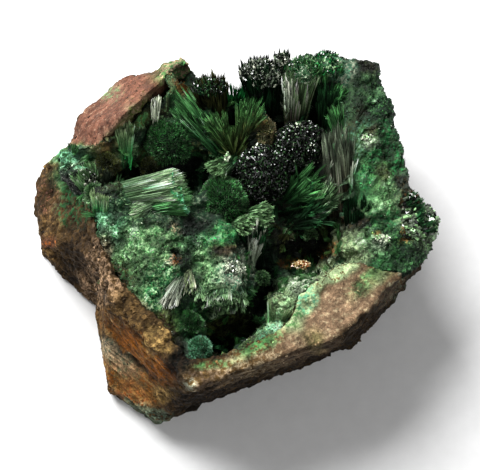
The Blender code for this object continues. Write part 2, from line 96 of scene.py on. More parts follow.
bpy.ops.object.select_all(action="DESELECT")
bpy.ops.object.camera_add(location=cameraPlace, rotation=(math.pi / 2 - tilt, 0.0, 0.0))
camera = bpy.context.object
camera.name = "pictureCamera"
camera.data.lens = lensView["lens"]
camera.data.sensor_width = lensView["sensor"]
camera.data.clip_start = 0.01
bpy.context.scene.camera = camera
print("camera placed")


def pixelsOf(points):
    away = np.asarray(points) - np.array(cameraPlace)
    depth = -(away @ np.array(towardCamera))
    x = lensView["across"] / 2 + pixelsAtOne * away[:, 0] / depth
    y = lensView["down"] / 2 - pixelsAtOne * (away @ np.array(cameraUp)) / depth
    return x, y


def nearSpot(points, x, y, across, up):
    # 1 at a spot of the picture, fading to 0 around it
    px, py = pixelsOf(points)
    return np.exp(-((px - x) / across) ** 2 - ((py - y) / up) ** 2)


def ramp(values, start, span):
    # 0 up to the start, then rising to 1 over the span
    return np.clip((values - start) / span, 0.0, 1.0)


def noiseAt(points, every):
    # smooth noise, about one swell every so many mm
    return np.array([noise.noise(Vector(p) / (every * mm)) for p in points])


# patches of colour: name, middle x, y, reach across and up, turn, ground, fleck, share of fleck
# where two patches lie on one spot, that spot is held more firmly
rockPatches = [
    ("red face foot", 74, 140, 22, 8, 8, "brick", "rose", 0.30),
    ("red face", 100, 122, 26, 15, 42, "brick", "rose", 0.32),
    ("red face bloom", 112, 94, 11, 8, 30, "rose", "mint", 0.45),
    ("red face top", 134, 88, 30, 15, 35, "brick", "umber", 0.30),
    ("red face end", 148, 72, 14, 9, 25, "brick", "rose", 0.35),
    ("rim ledge", 172, 68, 20, 9, 30, "leaf", "fawn", 0.45),
    ("rim lip strip", 126, 121, 7, 28, -44, "fawn", "moss", 0.45),
    ("left brow", 47, 165, 10, 14, 0, "umber", "clay", 0.40),
    ("left middle", 48, 196, 12, 16, 0, "umber", "brick", 0.32),
    ("left foot", 50, 236, 14, 18, 0, "umber", "clay", 0.42),
    ("left corner crust", 66, 152, 18, 8, 5, "leaf", "turquoise", 0.45),
    ("left shoulder", 76, 192, 14, 16, 0, "umber", "forest", 0.46),
    ("left low", 78, 238, 16, 18, 0, "umber", "bark", 0.42),
    ("left green blot", 63, 177, 11, 12, -40, "forest", "fern", 0.45),
    ("left green specks", 70, 214, 16, 10, -30, "umber", "forest", 0.42),
    ("left red spot", 50, 241, 7, 5, 0, "brick", "rust", 0.35),
    ("rim strip", 98, 248, 10, 28, -18, "umber", "drab", 0.42),
    ("rim under shelf", 108, 285, 14, 20, -30, "umber", "drab", 0.41),
    ("tan edge", 122, 312, 18, 24, -38, "umber", "clay", 0.45),
    ("tan edge low", 158, 342, 13, 19, -45, "clay", "sand", 0.45),
    ("dark facet", 180, 358, 13, 24, -10, "ink", "bark", 0.40),
    ("tan wall", 134, 344, 36, 9, -46, "ochre", "clay", 0.32),
    ("tan wall low", 160, 370, 18, 9, -46, "ochre", "umber", 0.38),
    # painted shade in the two creases
    ("wall crease", 142, 367, 36, 1.8, -38, "bark", "ink", 0.40),
    ("rim crease", 138, 335, 34, 1.8, -45, "bark", "umber", 0.40),
    ("ledge stripes", 120, 362, 22, 8, -44, "slate", "fawn", 0.48),
    ("ledge", 130, 380, 28, 12, -42, "sand", "ochre", 0.45),
    ("ledge orange", 134, 392, 15, 9, -40, "rust", "sand", 0.42),
    ("ledge end", 164, 392, 10, 8, -20, "clay", "sand", 0.45),
    ("ledge foot", 146, 410, 22, 6, -25, "umber", "slate", 0.50),
    ("band left", 205, 378, 28, 10, 10, "clay", "drab", 0.42),
    ("band green edge", 215, 366, 20, 4, 8, "clay", "leaf", 0.46),
    ("band fleck", 190, 384, 6, 5, 0, "sand", "frost", 0.45),
    ("band", 250, 364, 34, 11, 20, "clay", "fawn", 0.42),
    ("band middle", 300, 340, 34, 15, 28, "drab", "fawn", 0.35),
    ("band stain", 313, 338, 9, 10, 20, "moss", "sand", 0.45),
    ("band right", 345, 307, 34, 16, 42, "drab", "fawn", 0.35),
    ("band green", 362, 287, 12, 8, 30, "drab", "emerald", 0.40),
    ("band end", 382, 286, 20, 12, 45, "drab", "fawn", 0.35),
    ("seam low", 262, 346, 24, 6, 28, "clay", "leaf", 0.50),
    ("seam", 292, 322, 12, 12, 45, "celery", "leaf", 0.42),
    ("seam middle", 306, 298, 11, 10, 45, "celery", "turquoise", 0.42),
    ("seam right", 330, 273, 18, 8, 18, "celery", "clay", 0.36),
    ("seam end", 372, 282, 22, 8, 35, "leaf", "emerald", 0.45),
    ("front wall left", 215, 396, 44, 8, 10, "bark", "umber", 0.40),
    ("front wall", 295, 371, 50, 9, 18, "bark", "umber", 0.40),
    ("right wall", 366, 328, 34, 12, 47, "umber", "bark", 0.42),
    ("right wall end", 400, 290, 20, 20, 50, "umber", "slate", 0.40),
]
crustPatches = [
    ("left corner", 68, 150, 24, 10, 0, "leaf", "turquoise", 0.50),
    ("rim lip", 101, 147, 20, 7, 5, "moss", "sand", 0.50),
    ("rim lip upper", 140, 104, 10, 28, -35, "moss", "leaf", 0.45),
    ("pale fan ground", 124, 149, 9, 10, 0, "leaf", "mint", 0.50),
    ("olive dome", 111, 176, 13, 12, 0, "olive", "forest", 0.35),
    ("left crystals", 82, 176, 12, 11, 0, "ink", "silver", 0.30),
    # painted shade in the cleft
    ("left cleft", 100, 192, 16, 8, 0, "ink", "bottle", 0.30),
    ("upper ledge", 166, 72, 24, 9, 38, "mint", "sand", 0.40),
    ("ledge lip", 182, 84, 10, 7, 0, "umber", "ochre", 0.50),
    ("upper slope", 155, 102, 12, 12, 0, "bark", "mint", 0.30),
    ("small dome", 150, 160, 11, 10, 0, "moss", "leaf", 0.40),
    ("velvet left", 170, 133, 24, 22, 0, "bottle", "slate", 0.35),
    # painted shade in the cavern
    ("cavern", 168, 166, 26, 13, 0, "ink", "bottle", 0.25),
    ("green slope", 188, 110, 16, 26, 40, "emerald", "mint", 0.35),
    ("slope foot", 205, 145, 16, 12, 0, "forest", "moss", 0.40),
    ("black fan left", 211, 88, 17, 20, 0, "ink", "bark", 0.35),
    ("bay", 233, 92, 9, 12, 0, "bottle", "emerald", 0.35),
    ("big black fan", 262, 78, 23, 26, 0, "ink", "bark", 0.35),
    ("star ground", 232, 128, 22, 18, 0, "bottle", "olive", 0.40),
    ("olive hollow", 267, 120, 13, 14, 0, "moss", "sand", 0.45),
    ("silver ground", 298, 90, 18, 26, 0, "forest", "silver", 0.30),
    ("back tufts", 315, 62, 24, 16, 0, "forest", "mint", 0.35),
    ("back dark", 330, 92, 16, 16, 0, "bottle", "ink", 0.40),
    ("dome right", 300, 142, 24, 28, 0, "ink", "ink", 0.20),
    ("dome left", 264, 162, 32, 30, 0, "ink", "bark", 0.20),
    ("velvet centre", 220, 192, 28, 28, 0, "bottle", "slate", 0.35),
    ("green ridge", 220, 156, 15, 10, 30, "leaf", "mint", 0.40),
    ("shade by block", 188, 222, 16, 8, 0, "bottle", "ink", 0.40),
    ("shade under block", 158, 220, 34, 6, 4, "bottle", "ink", 0.45),
    ("block side", 150, 200, 44, 20, 5, "forest", "mint", 0.30),
    # painted shade in the crack
    ("block crack", 114, 208, 6, 14, 0, "ink", "umber", 0.40),
    ("emerald shelf", 107, 222, 15, 20, 0, "emerald", "turquoise", 0.45),
    ("brown rim strip", 100, 250, 9, 26, -18, "umber", "fawn", 0.40),
    ("porous ground", 144, 248, 26, 22, 0, "leaf", "mint", 0.43),
    ("cream knob", 176, 226, 5, 6, 20, "fern", "cream", 0.42),
    ("hole rim", 173, 259, 7, 4, 0, "bark", "rust", 0.45),
    # painted shade in the hole, held twice
    ("hole", 174, 252, 6, 4, 0, "ink", "ink", 0.35),
    ("hole again", 174, 252, 6, 4, 0, "ink", "ink", 0.35),
    ("ground edge", 120, 282, 18, 18, -40, "clay", "leaf", 0.45),
    ("ground low", 152, 288, 26, 18, 0, "emerald", "mint", 0.40),
    ("tan rough rim", 126, 318, 20, 22, -40, "bark", "clay", 0.50),
    ("tan shelf", 160, 332, 16, 20, -30, "umber", "moss", 0.45),
    ("striped needles", 187, 288, 13, 22, 0, "bottle", "fern", 0.35),
    # painted shade in the gap
    ("block gap", 194, 284, 8, 22, 0, "ink", "bottle", 0.35),
    ("green lump", 190, 324, 16, 12, -20, "emerald", "leaf", 0.45),
    ("teal bulb", 201, 350, 13, 12, 0, "forest", "turquoise", 0.45),
    ("dark foot", 180, 358, 12, 20, 0, "ink", "bark", 0.40),
    ("bright tuft", 219, 236, 14, 10, 0, "emerald", "leaf", 0.45),
    ("block brown", 224, 250, 10, 7, 0, "umber", "clay", 0.42),
    ("block brown again", 224, 250, 8, 5, 0, "umber", "bark", 0.42),
    ("block pale", 236, 272, 18, 16, 0, "turquoise", "frost", 0.50),
    ("block left", 208, 272, 14, 20, 0, "leaf", "mint", 0.45),
    ("block foot", 224, 298, 24, 14, 0, "forest", "mint", 0.40),
    # painted shadow of the block in the channel
    ("channel", 258, 300, 14, 26, 0, "ink", "bottle", 0.35),
    ("hollow floor", 232, 330, 26, 18, 20, "bark", "moss", 0.45),
    ("low lip", 236, 352, 26, 7, 20, "fern", "leaf", 0.45),
    ("orange spot", 220, 357, 7, 5, 0, "rust", "umber", 0.45),
    ("fringe low", 274, 330, 17, 13, 48, "mint", "turquoise", 0.46),
    ("fringe", 284, 306, 20, 15, 45, "celery", "mint", 0.45),
    ("fringe foot", 303, 284, 16, 8, 30, "leaf", "frost", 0.45),
    ("fringe right", 332, 271, 17, 8, 20, "celery", "clay", 0.32),
    ("smooth green", 354, 247, 16, 15, 0, "celery", "mint", 0.36),
    # painted shade in the pit
    ("pit", 309, 243, 24, 15, 0, "ink", "olive", 0.35),
    ("pit rim", 306, 228, 26, 7, 10, "olive", "forest", 0.40),
    ("orange ground", 300, 263, 14, 4, 0, "moss", "rust", 0.42),
    ("orange ground right", 330, 249, 12, 5, 30, "moss", "rust", 0.42),
    ("brown fans", 280, 200, 26, 16, 20, "bark", "forest", 0.45),
    ("green spray", 316, 186, 20, 16, 0, "forest", "emerald", 0.45),
    ("grey sheaf", 342, 170, 16, 34, 0, "bark", "slate", 0.40),
    # painted shade under the grey sheaf
    ("under grey sheaf", 352, 216, 14, 20, 0, "ink", "umber", 0.40),
    ("dark cap", 364, 62, 14, 10, 0, "ink", "olive", 0.42),
    ("dark cap again", 364, 62, 12, 8, 0, "bark", "ink", 0.42),
    ("turquoise top", 345, 65, 11, 12, 0, "turquoise", "frost", 0.40),
    ("flank top", 362, 88, 20, 18, 0, "forest", "fern", 0.48),
    ("flank brown", 357, 112, 9, 8, 0, "umber", "bark", 0.45),
    ("flank dark", 376, 106, 12, 8, 0, "bottle", "leaf", 0.35),
    ("flank", 350, 132, 18, 18, 0, "leaf", "turquoise", 0.40),
    ("flank brown low", 368, 131, 9, 7, 0, "umber", "clay", 0.40),
    ("flank glint", 368, 141, 9, 6, 0, "mint", "frost", 0.50),
    ("flank right", 388, 150, 16, 20, 0, "fern", "emerald", 0.42),
    ("flank brown spot", 383, 172, 7, 10, 0, "umber", "clay", 0.42),
    ("flank middle", 368, 182, 18, 20, 0, "leaf", "emerald", 0.45),
    ("flank pale", 386, 198, 17, 13, 0, "leaf", "mint", 0.44),
    ("flank bright", 385, 218, 12, 9, 0, "emerald", "fern", 0.45),
    ("flank low", 375, 240, 20, 14, 0, "forest", "leaf", 0.45),
    ("flank glint low", 381, 243, 9, 6, 0, "leaf", "frost", 0.55),
    ("nick", 404, 184, 9, 5, -30, "ink", "umber", 0.35),
    ("corner upper", 408, 198, 14, 14, 0, "slate", "umber", 0.45),
    ("corner orange", 408, 232, 6, 10, -15, "forest", "rust", 0.45),
    ("orange spot flank", 378, 234, 4, 3, 0, "umber", "rust", 0.50),
    ("corner", 426, 222, 18, 22, 0, "slate", "mint", 0.45),
    ("corner low", 396, 258, 20, 16, 40, "forest", "leaf", 0.42),
    ("lower edge", 375, 270, 20, 10, 30, "leaf", "emerald", 0.45),
    ("back edge", 300, 54, 60, 8, 0, "forest", "mint", 0.35),
]
plainRock = ("umber", "bark", 0.40)
plainCrust = ("bottle", "forest", 0.35)

# how a patch of colour ends
patchEdge = {
    "sharp": 1.6,
    "wander": 5.0,           # px that its edge strays
    "wanderEvery": 2.4,      # mm
    "slim": 7,               # px, a patch slimmer than this strays less
    "turned": (-0.05, 0.3),  # faces turned from the camera take no patch
    "plain": 0.03,           # how much the plain colour counts everywhere
}


def patchWeights(points, normals, patches):
    # how much each patch counts at each point; the last row is what no patch reaches
    x, y = pixelsOf(points)
    seen = ramp(normals @ np.array(towardCamera), *patchEdge["turned"])
    every = patchEdge["wanderEvery"] * mm
    shift = np.array([noise.noise_vector(Vector(p) / every)[:2] for p in points])
    rows = []
    for _, px, py, across, up, turn, *_ in patches:
        t = math.radians(turn)
        wander = patchEdge["wander"] * min(1.0, up / patchEdge["slim"])
        dx = x + wander * shift[:, 0] - px
        dy = y + wander * shift[:, 1] - py
        u = (dx * math.cos(t) - dy * math.sin(t)) / across
        v = (dx * math.sin(t) + dy * math.cos(t)) / up
        rows.append(np.exp(-((u * u + v * v) ** patchEdge["sharp"])) * seen)
    rows.append(np.full(len(x), patchEdge["plain"]))
    rows = np.array(rows)
    return rows / rows.sum(0)


def weightOf(weights, patches, name):
    return weights[[p[0] for p in patches].index(name)]


def patchTints(weights, patches, plain):
    grounds = [p[6] for p in patches] + [plain[0]]
    flecks = [p[7] for p in patches] + [plain[1]]
    shares = np.array([p[8] for p in patches] + [plain[2]])
    ground = weights.T @ np.array([tint[name] for name in grounds])
    fleck = weights.T @ np.array([tint[name] for name in flecks])
    return ground, fleck, weights.T @ shares


def readAll(items, name, width=3):
    # one value of every vertex or face
    values = np.zeros(len(items) * width)
    items.foreach_get(name, values)
    return values.reshape(-1, width) if width > 1 else values


def pointsAndNormals(made):
    vertices = made.data.vertices
    return readAll(vertices, "co"), readAll(vertices, "normal")


def colourVerts(made, name, colours, alpha):
    layer = made.data.color_attributes.new(name, "FLOAT_COLOR", "POINT")
    layer.data.foreach_set("color", np.column_stack([colours, alpha]).astype(np.float32).ravel())


def pickOnly(made):
    bpy.ops.object.select_all(action="DESELECT")
    made.select_set(True)
    bpy.context.view_layer.objects.active = made


weldGap = 0.01      # mm, the frame's mesh is joined within this


def finePiece(node, name, voxel):
    # a fine closed skin of a frame node
    made = bpy.data.objects.new(name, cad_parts[node].data.copy())
    bpy.context.scene.collection.objects.link(made)
    made.data.materials.clear()
    pickOnly(made)
    bpy.ops.object.mode_set(mode="EDIT")
    bpy.ops.mesh.select_all(action="SELECT")
    bpy.ops.mesh.remove_doubles(threshold=weldGap * mm)
    bpy.ops.object.mode_set(mode="OBJECT")
    bpy.ops.object.modifier_add(type="REMESH")
    skin = made.modifiers[-1]
    skin.mode = "VOXEL"
    skin.voxel_size = voxel * mm
    bpy.ops.object.modifier_apply(modifier=skin.name)
    return made


shareSteps = 10      # a vertex's share of the relief is kept in steps


def roughen(made, relief, shares):
    # one Displace for each row of the relief, in full where a vertex's share is 1
    group = made.vertex_groups.new(name="rough")
    steps = np.round(np.clip(shares, 0.0, 1.0) * shareSteps).astype(int)
    for step in range(1, shareSteps + 1):
        group.add(np.nonzero(steps == step)[0].tolist(), step / shareSteps, "REPLACE")
    pickOnly(made)
    for i, (kind, size, strength) in enumerate(relief):
        texture = bpy.data.textures.new(made.name + kind + str(i), kind)
        texture.noise_scale = size * mm
        bpy.ops.object.modifier_add(type="DISPLACE")
        rough = made.modifiers[-1]
        rough.texture = texture
        rough.texture_coords = "LOCAL"
        rough.vertex_group = "rough"
        rough.strength = strength * mm
        rough.mid_level = 0.5
        bpy.ops.object.modifier_apply(modifier=rough.name)
    made.vertex_groups.clear()


reliefSpan = 2.6      # deviations of height between the pits and the tops


def standing(before, after, normals):
    # 0 in the pits of the relief and 1 on its tops
    height = ((after - before) * normals).sum(1)
    return np.clip(0.5 + (height - height.mean()) / (reliefSpan * height.std()), 0.0, 1.0)


# the palest tops lose some of their colour, towards this grey
fading = {"grey": (0.96, 1.08, 0.92), "start": 0.9, "pace": 0.7, "most": 0.6}


def faded(colours, shade):
    grey = colours.mean(1, keepdims=True) * np.array(fading["grey"])
    share = np.clip((shade - fading["start"]) * fading["pace"], 0.0, fading["most"])
    return colours + (grey - colours) * share


def setPoints(made, points):
    made.data.vertices.foreach_set("co", points.ravel())
    made.data.update()


# the frame's sheaves and domes are measured from the middle of the hollow
middle = Vector((1.95, -2.75, 0.0))


def place(x, y, z):
    return (Vector((x, y, z)) + middle) * mm


# sheaves: root, tip, radius at root and tip, flatness, turn, needles, look, raggedness, swing
darkSheaves = [
    ((-3.8, 23.6, 16), (-6.2, 31.2, 31.2), 1.3, 3.9, 0.7, 0, 3000, "bark", 0.20, 0.28),
    ((-1.0, 26.0, 18), (-0.8, 30.6, 29.5), 1.0, 2.2, 0.8, 0, 500, "bottle", 0.25, 0.28),
    ((5.6, 25.5, 16), (4.6, 33.4, 33.2), 2.2, 4.9, 0.75, 0, 3600, "ink", 0.10, 0.28),
    ((8.6, 28.0, 20), (8.4, 35.4, 35.0), 0.8, 1.5, 0.9, 0, 500, "ink", 0.12, 0.28),
    ((17.0, 22.0, 20), (18.6, 29.6, 32.0), 1.0, 3.0, 0.6, 0, 1200, "dark", 0.16, 0.28),
    ((21.6, 2.0, 15), (19.6, 19.6, 31.2), 2.4, 3.7, 0.75, 0, 3200, "mixed", 0.14, 0.40),
    ((23.4, -2.0, 18), (23.6, 6.4, 29.0), 1.6, 3.0, 0.7, 0, 1400, "ink", 0.12, 0.28),
    ((8.0, 5.0, 17), (17.0, 6.6, 25.4), 1.2, 3.2, 0.6, 0, 1200, "dark", 0.50, 1.00),
    ((3.4, -6.0, 16), (3.2, 0.6, 29.0), 0.8, 1.7, 0.9, 0, 700, "ink", 0.18, 0.28),
]
greenSheaves = [
    ((-1.2, 18.6, 22), (-5.4, 24.0, 30.5), 0.5, 2.4, 0.6, 0, 1100, "star", 0.30, 0.60),
    ((-1.2, 18.6, 22), (2.6, 26.2, 31.6), 0.5, 2.7, 0.6, 0, 1300, "star", 0.30, 0.60),
    # painted glints: pale flakes on the silver sheaf
    ((9.8, 25.0, 29.0), (9.3, 31.0, 34.6), 0.7, 1.4, 0.6, 0, 98, "flake", 0.60, 0.30),
    ((21.5, 17.0, 24), (19.0, 26.0, 31.5), 0.6, 1.8, 0.7, 0, 560, "emerald", 0.30, 0.50),
    ((17.5, 26.5, 28), (21.0, 29.2, 32.5), 0.5, 1.8, 0.7, 0, 480, "emerald", 0.30, 0.50),
    # painted glints: a few silver needles on the grey sheaf
    ((17.6, 9.0, 28.6), (17.9, 14.8, 31.4), 0.4, 0.8, 0.6, 0, 12, "silver", 0.50, 0.35),
    ((22.0, 8.4, 29.0), (22.4, 14.4, 31.4), 0.4, 0.8, 0.6, 0, 16, "silver", 0.50, 0.35),
    ((6.4, 8.0, 18), (15.6, 12.0, 27.4), 1.2, 3.3, 0.6, 0, 1000, "emerald", 0.50, 1.00),
    ((12.6, 4.0, 20), (18.6, 9.6, 27.6), 0.6, 1.8, 0.6, 0, 400, "leaf", 0.60, 0.90),
    ((-0.6, 6.6, 20), (5.2, 3.8, 28.6), 1.0, 2.6, 0.6, 0, 1000, "leaf", 0.20, 0.28),
    ((-2.6, 4.4, 22), (1.8, 1.2, 30.4), 1.0, 2.4, 0.6, 0, 900, "leaf", 0.18, 0.28),
    ((-22.8, 16.0, 24), (-23.0, 21.8, 31.2), 0.9, 2.1, 0.45, 30, 700, "paleFan", 0.16, 0.28),
    # painted glint: a pale shining blade near the rim
    ((-17.2, 23.6, 25), (-16.9, 27.6, 31.6), 0.6, 1.1, 0.6, 30, 90, "blade", 0.10, 0.20),
    ((-1.6, 18.4, 19), (-11.8, 28.4, 29.0), 1.8, 3.6, 0.45, 20, 2600, "slope", 0.30, 0.60),
    ((-1.0, 17.6, 24), (-5.0, 12.6, 31.0), 0.9, 2.0, 0.7, 0, 600, "leaf", 0.20, 0.28),
    ((32.0, 0.0, 26), (37.2, 2.5, 31.2), 1.4, 2.9, 0.7, 0, 900, "dark", 0.10, 0.15),
    ((31.0, 4.4, 26), (34.9, 6.4, 31.3), 1.2, 2.2, 0.8, 0, 700, "dark", 0.12, 0.15),
    ((-29.4, 10.0, 22), (-31.6, 13.4, 29.0), 1.4, 2.7, 0.7, 0, 900, "leaf", 0.16, 0.20),
    ((-27.0, 9.8, 20), (-28.6, 13.6, 27.6), 1.0, 2.3, 0.7, 0, 600, "grey", 0.16, 0.20),
]
# these keep their lumps, with needles between them
lumpySheaves = [
    ((11.0, 23.5, 20), (12.0, 32.0, 34.2), 1.8, 3.4, 0.8, 0, 2000, "silverMix", 0.12, 0.35),
    ((13.0, 30.0, 22), (13.6, 34.4, 34.6), 1.6, 2.8, 0.9, 0, 700, "emerald", 0.20, 0.40),
    ((17.4, 29.0, 22), (17.4, 34.8, 34.9), 1.8, 3.2, 0.9, 0, 800, "emerald", 0.20, 0.40),
    ((6.4, -20.4, 24), (9.0, -14.6, 31.6), 1.2, 3.8, 0.6, 20, 700, "fringe", 0.25, 0.35),
]
blockSheaves = [
    ((-26.4, 7.4, 27.8), (-12.6, 9.2, 31.0), 2.8, 3.3, 0.85, 0, 6000, "block", 0.02, 0.20),
    ((-23.6, 5.0, 27.4), (-11.2, 6.8, 30.2), 2.0, 2.8, 0.9, 0, 3200, "blockLow", 0.03, 0.22),
    ((-15.0, 6.8, 29.8), (-21.4, 3.4, 29.7), 1.0, 2.4, 0.8, 0, 1600, "block", 0.14, 0.35),
    ((-13.8, 9.0, 30.7), (-12.2, 9.3, 31.1), 3.1, 3.4, 0.85, 0, 900, "rim", 0.03, 0.10),
    ((-12.2, 6.6, 30.0), (-10.8, 6.9, 30.3), 2.6, 2.9, 0.9, 0, 700, "rim", 0.03, 0.10),
    ((-27.6, 4.0, 26), (-27.4, 8.0, 30.8), 1.5, 2.3, 0.8, 0, 900, "paleFan", 0.05, 0.12),
]
paleSheaves = [
    ((-2.6, -11.0, 28.0), (-3.0, -15.0, 28.8), 3.6, 3.9, 0.7, 0, 1100, "pale", 0.45, 0.50),
    ((-7.6, -9.4, 27.2), (-6.6, -13.6, 28.2), 2.2, 2.6, 0.7, 0, 600, "pale", 0.45, 0.50),
    ((-9.6, -5.0, 27.6), (-10.6, -12.0, 29.4), 1.2, 2.0, 0.6, 0, 700, "striped", 0.45, 0.30),
    ((-12.8, -10.6, 29.0), (-13.2, -15.0, 30.0), 1.0, 1.8, 0.6, 0, 200, "striped", 0.45, 0.30),
    ((2.4, -4.6, 25.0), (3.4, 1.4, 28.8), 0.8, 1.9, 0.8, 0, 400, "thinSilver", 0.60, 0.40),
    ((-11.6, -9.8, 30.2), (-14.2, -15.8, 32.0), 1.0, 1.9, 0.5, 0, 480, "thinSilver", 0.45, 0.30),
]


# velvet domes: centre x, y, crown, radii, turn, spacing of the needles, their length, look
velvetCaps = [
    (-14.6, 21.8, 29.6, (5.5, 5.2, 9.0), 20, 0.25, 0.8, "velvetLit"),
    (-18.6, 16.8, 25.2, (2.1, 2.0, 5.0), 0, 0.22, 0.7, "olive"),
    (-19.4, 24.4, 28.4, (2.2, 1.7, 5.0), 30, 0.22, 0.7, "olive"),
    (-3.4, 8.2, 31.6, (5.3, 5.6, 9.5), 0, 0.25, 0.8, "velvetLit"),
    (5.2, 22.8, 29.2, (2.2, 3.2, 4.0), 0, 0.22, 0.6, "moor"),
    (-7.9, -23.3, 31.0, (2.6, 2.9, 5.0), 0, 0.22, 0.7, "teal"),
    (-9.6, -17.6, 31.2, (3.0, 2.2, 5.0), -30, 0.22, 0.7, "emerald"),
    (-13.8, -13.8, 31.4, (2.4, 2.0, 4.0), 30, 0.24, 0.7, "dark"),
    (4.4, -7.2, 25.4, (1.7, 1.6, 4.0), 0, 0.22, 0.6, "leaf"),
    (14.3, 3.0, 22.0, (1.5, 1.4, 4.0), 0, 0.22, 0.6, "leaf"),
    (-29.2, 8.8, 30.0, (2.2, 3.0, 4.0), 0, 0.24, 0.7, "leaf"),
    (-26.8, 15.8, 29.2, (2.8, 2.4, 4.4), 0, 0.22, 0.7, "olive"),
]
# black sparkling domes: centre, crown, radii, turn, spacing of their crystals
blackCaps = [
    (4.5, 14.2, 32.0, (5.6, 5.6, 9.8), 20, 0.28),
    (12.4, 19.6, 32.4, (5.8, 5.4, 10.2), 0, 0.28),
]

# the frame's own block, which the needles fill more slimly than it stands
solidBlock = [((-26.6, 6.8, 28.6), (-11.2, 8.6, 32.2), 3.4, 4.5)]
# how far the bed is drawn in beneath its growths, as shares of their own sizes
pulls = {
    "sheafIn": 0.30,
    "sheafBack": 0.12,
    "sheafFrom": (0.2, 0.3),     # the pull starts along the sheaf, and where it is full
    "sheafPast": 1.3,
    "sheafWide": (1.3, 0.3),     # how far out it still reaches: share of the radius, and mm
    "sheafFade": 0.6,
    "domeIn": 0.13,
    "domeWide": 1.25,
    "domeFade": 0.2,
    "domeFoot": 1.5,
    "blockIn": 0.45,
    "blockDrop": (0.0, -0.9, -0.8),
}


def alongSheaf(table, row):
    # for each point, its share of the sheaf's length, its way out from the axis and the radius there
    root, axis = np.array(row[0], float), np.array(row[1], float) - np.array(row[0], float)
    share = ((table - root) @ axis) / (axis @ axis)
    away = table - root - share[:, None] * axis
    return axis, share, away, row[2] + (row[3] - row[2]) * share


def overDome(table, cap, margin=0.0):
    # for each point, its way from the dome's middle, and the square of its share of the dome's width
    x, y, crown, radii, turn = cap[:5]
    t = math.radians(turn)
    away = table - np.array([x, y, crown - radii[2]])
    u = (away[:, 0] * math.cos(t) + away[:, 1] * math.sin(t)) / (radii[0] + margin)
    v = (away[:, 1] * math.cos(t) - away[:, 0] * math.sin(t)) / (radii[1] + margin)
    return away, u * u + v * v


def pullIn(points):
    # draws the solid of each sheaf and dome in beneath its own needles; also tells where
    table = points / mm - np.array(middle)
    inside = np.zeros(len(points))
    for row in darkSheaves + greenSheaves + paleSheaves + solidBlock:
        axis, share, away, radius = alongSheaf(table, row)
        reach = radius * pulls["sheafWide"][0] + pulls["sheafWide"][1]
        full = ramp(share, *pulls["sheafFrom"]) * (share < pulls["sheafPast"])
        full = full * ramp(reach - np.linalg.norm(away, axis=1), 0.0, pulls["sheafFade"])
        isBlock = row in solidBlock
        inward = pulls["blockIn"] if isBlock else pulls["sheafIn"]
        table = table - away * (inward * full)[:, None] - axis * (pulls["sheafBack"] * full)[:, None]
        if isBlock:
            table = table + full[:, None] * np.array(pulls["blockDrop"])
        inside = np.maximum(inside, full)
    for cap in velvetCaps + blackCaps:
        away, square = overDome(table, cap)
        full = ramp(pulls["domeWide"] - np.sqrt(square), 0.0, pulls["domeFade"])
        full = full * ramp(away[:, 2], 0.0, pulls["domeFoot"])
        table = table - away * (pulls["domeIn"] * full)[:, None]
        inside = np.maximum(inside, full)
    return (table + np.array(middle)) * mm, inside


# where the outline of the part is drawn to the picture: x, y, reach across and up, move in mm
drawn = [
    (174, 66, 16, 22, (0.0, 1.3, 0.5)),
    (126, 82, 22, 16, (-0.4, 1.0, 0.3)),
    (233, 86, 6, 20, (0.0, -3.0, -1.5)),
    (174, 252, 5, 5, (0.3, 0.3, -2.6)),
]


def drawTo(points):
    moved = points
    for x, y, across, up, move in drawn:
        moved = moved + (nearSpot(points, x, y, across, up) * mm)[:, None] * np.array(move)
    return moved


# the rock
rockLook = {
    "voxel": 0.5,
    "relief": [("CLOUDS", 3.6, 1.9), ("VORONOI", 2.2, 1.0), ("VORONOI", 0.9, 0.45), ("CLOUDS", 0.6, 0.3)],
    "footHeight": 1.5,     # mm, below this the relief runs out towards the flat base
    "flatFoot": 0.5,
    # patches that broke more smoothly, and the share of the relief that they keep
    "smooth": {
        "red face foot": 0.3, "red face": 0.22, "red face top": 0.25,
        "red face end": 0.35, "red face bloom": 0.2,
        "band left": 0.4, "band": 0.25, "band middle": 0.14, "band right": 0.14, "band end": 0.2,
        "seam": 0.4, "seam right": 0.4,
        "tan wall": 0.15, "tan wall low": 0.15, "ledge stripes": 0.2, "ledge": 0.3, "ledge orange": 0.4,
    },
    # the way that the streaks of a patch run, in degrees
    "streaks": {
        "tan wall": -38, "tan wall low": -38, "ledge": -38, "ledge stripes": -38,
        "ledge orange": -38, "ledge foot": -38,
        "band": 30, "band middle": 32, "band right": 42, "band left": 12, "band end": 40,
    },
    "streakShape": (0.12, 2.6, 2.0),    # swells a mm, lengthways, across and upwards
    "streakLeast": 0.05,
    "streakDepth": 0.26,
    "streakShade": 1.3,
    "bandStreaks": 0.4,    # fainter on the band
    "layerShape": (0.12, 0.12, 0.9),    # lying layers on the walls
    "layerDepth": 0.45,
    "wall": 0.5,
    "frontStain": 0.6,     # painted shadow: the front walls are darker, right of a place in mm
    "stainFrom": (-13.0, 3.0),
    "frontTurn": (0.3, 0.3),
    "frontSteep": (0.6, 0.25),
    "swellShade": 0.6,
    "swellEvery": 2.2,
    "pitShade": 0.55,      # painted shade: how dark the colour gets in the pits; the next is painted light on the tops
    "topShade": 1.25,
}
rock = finePiece("matrix", "oreRock", rockLook["voxel"])
points, normals = pointsAndNormals(rock)
weights = patchWeights(points, normals, rockPatches)
shares = np.ones(len(points))
for name, kept in rockLook["smooth"].items():
    shares -= weightOf(weights, rockPatches, name) * (1.0 - kept)
points = drawTo(points)
setPoints(rock, points)
before, along = points, normals
roughen(rock, rockLook["relief"], shares * ramp(points[:, 2], 0.0, rockLook["footHeight"] * mm))
points, normals = pointsAndNormals(rock)
rockTops = standing(before, points, along)

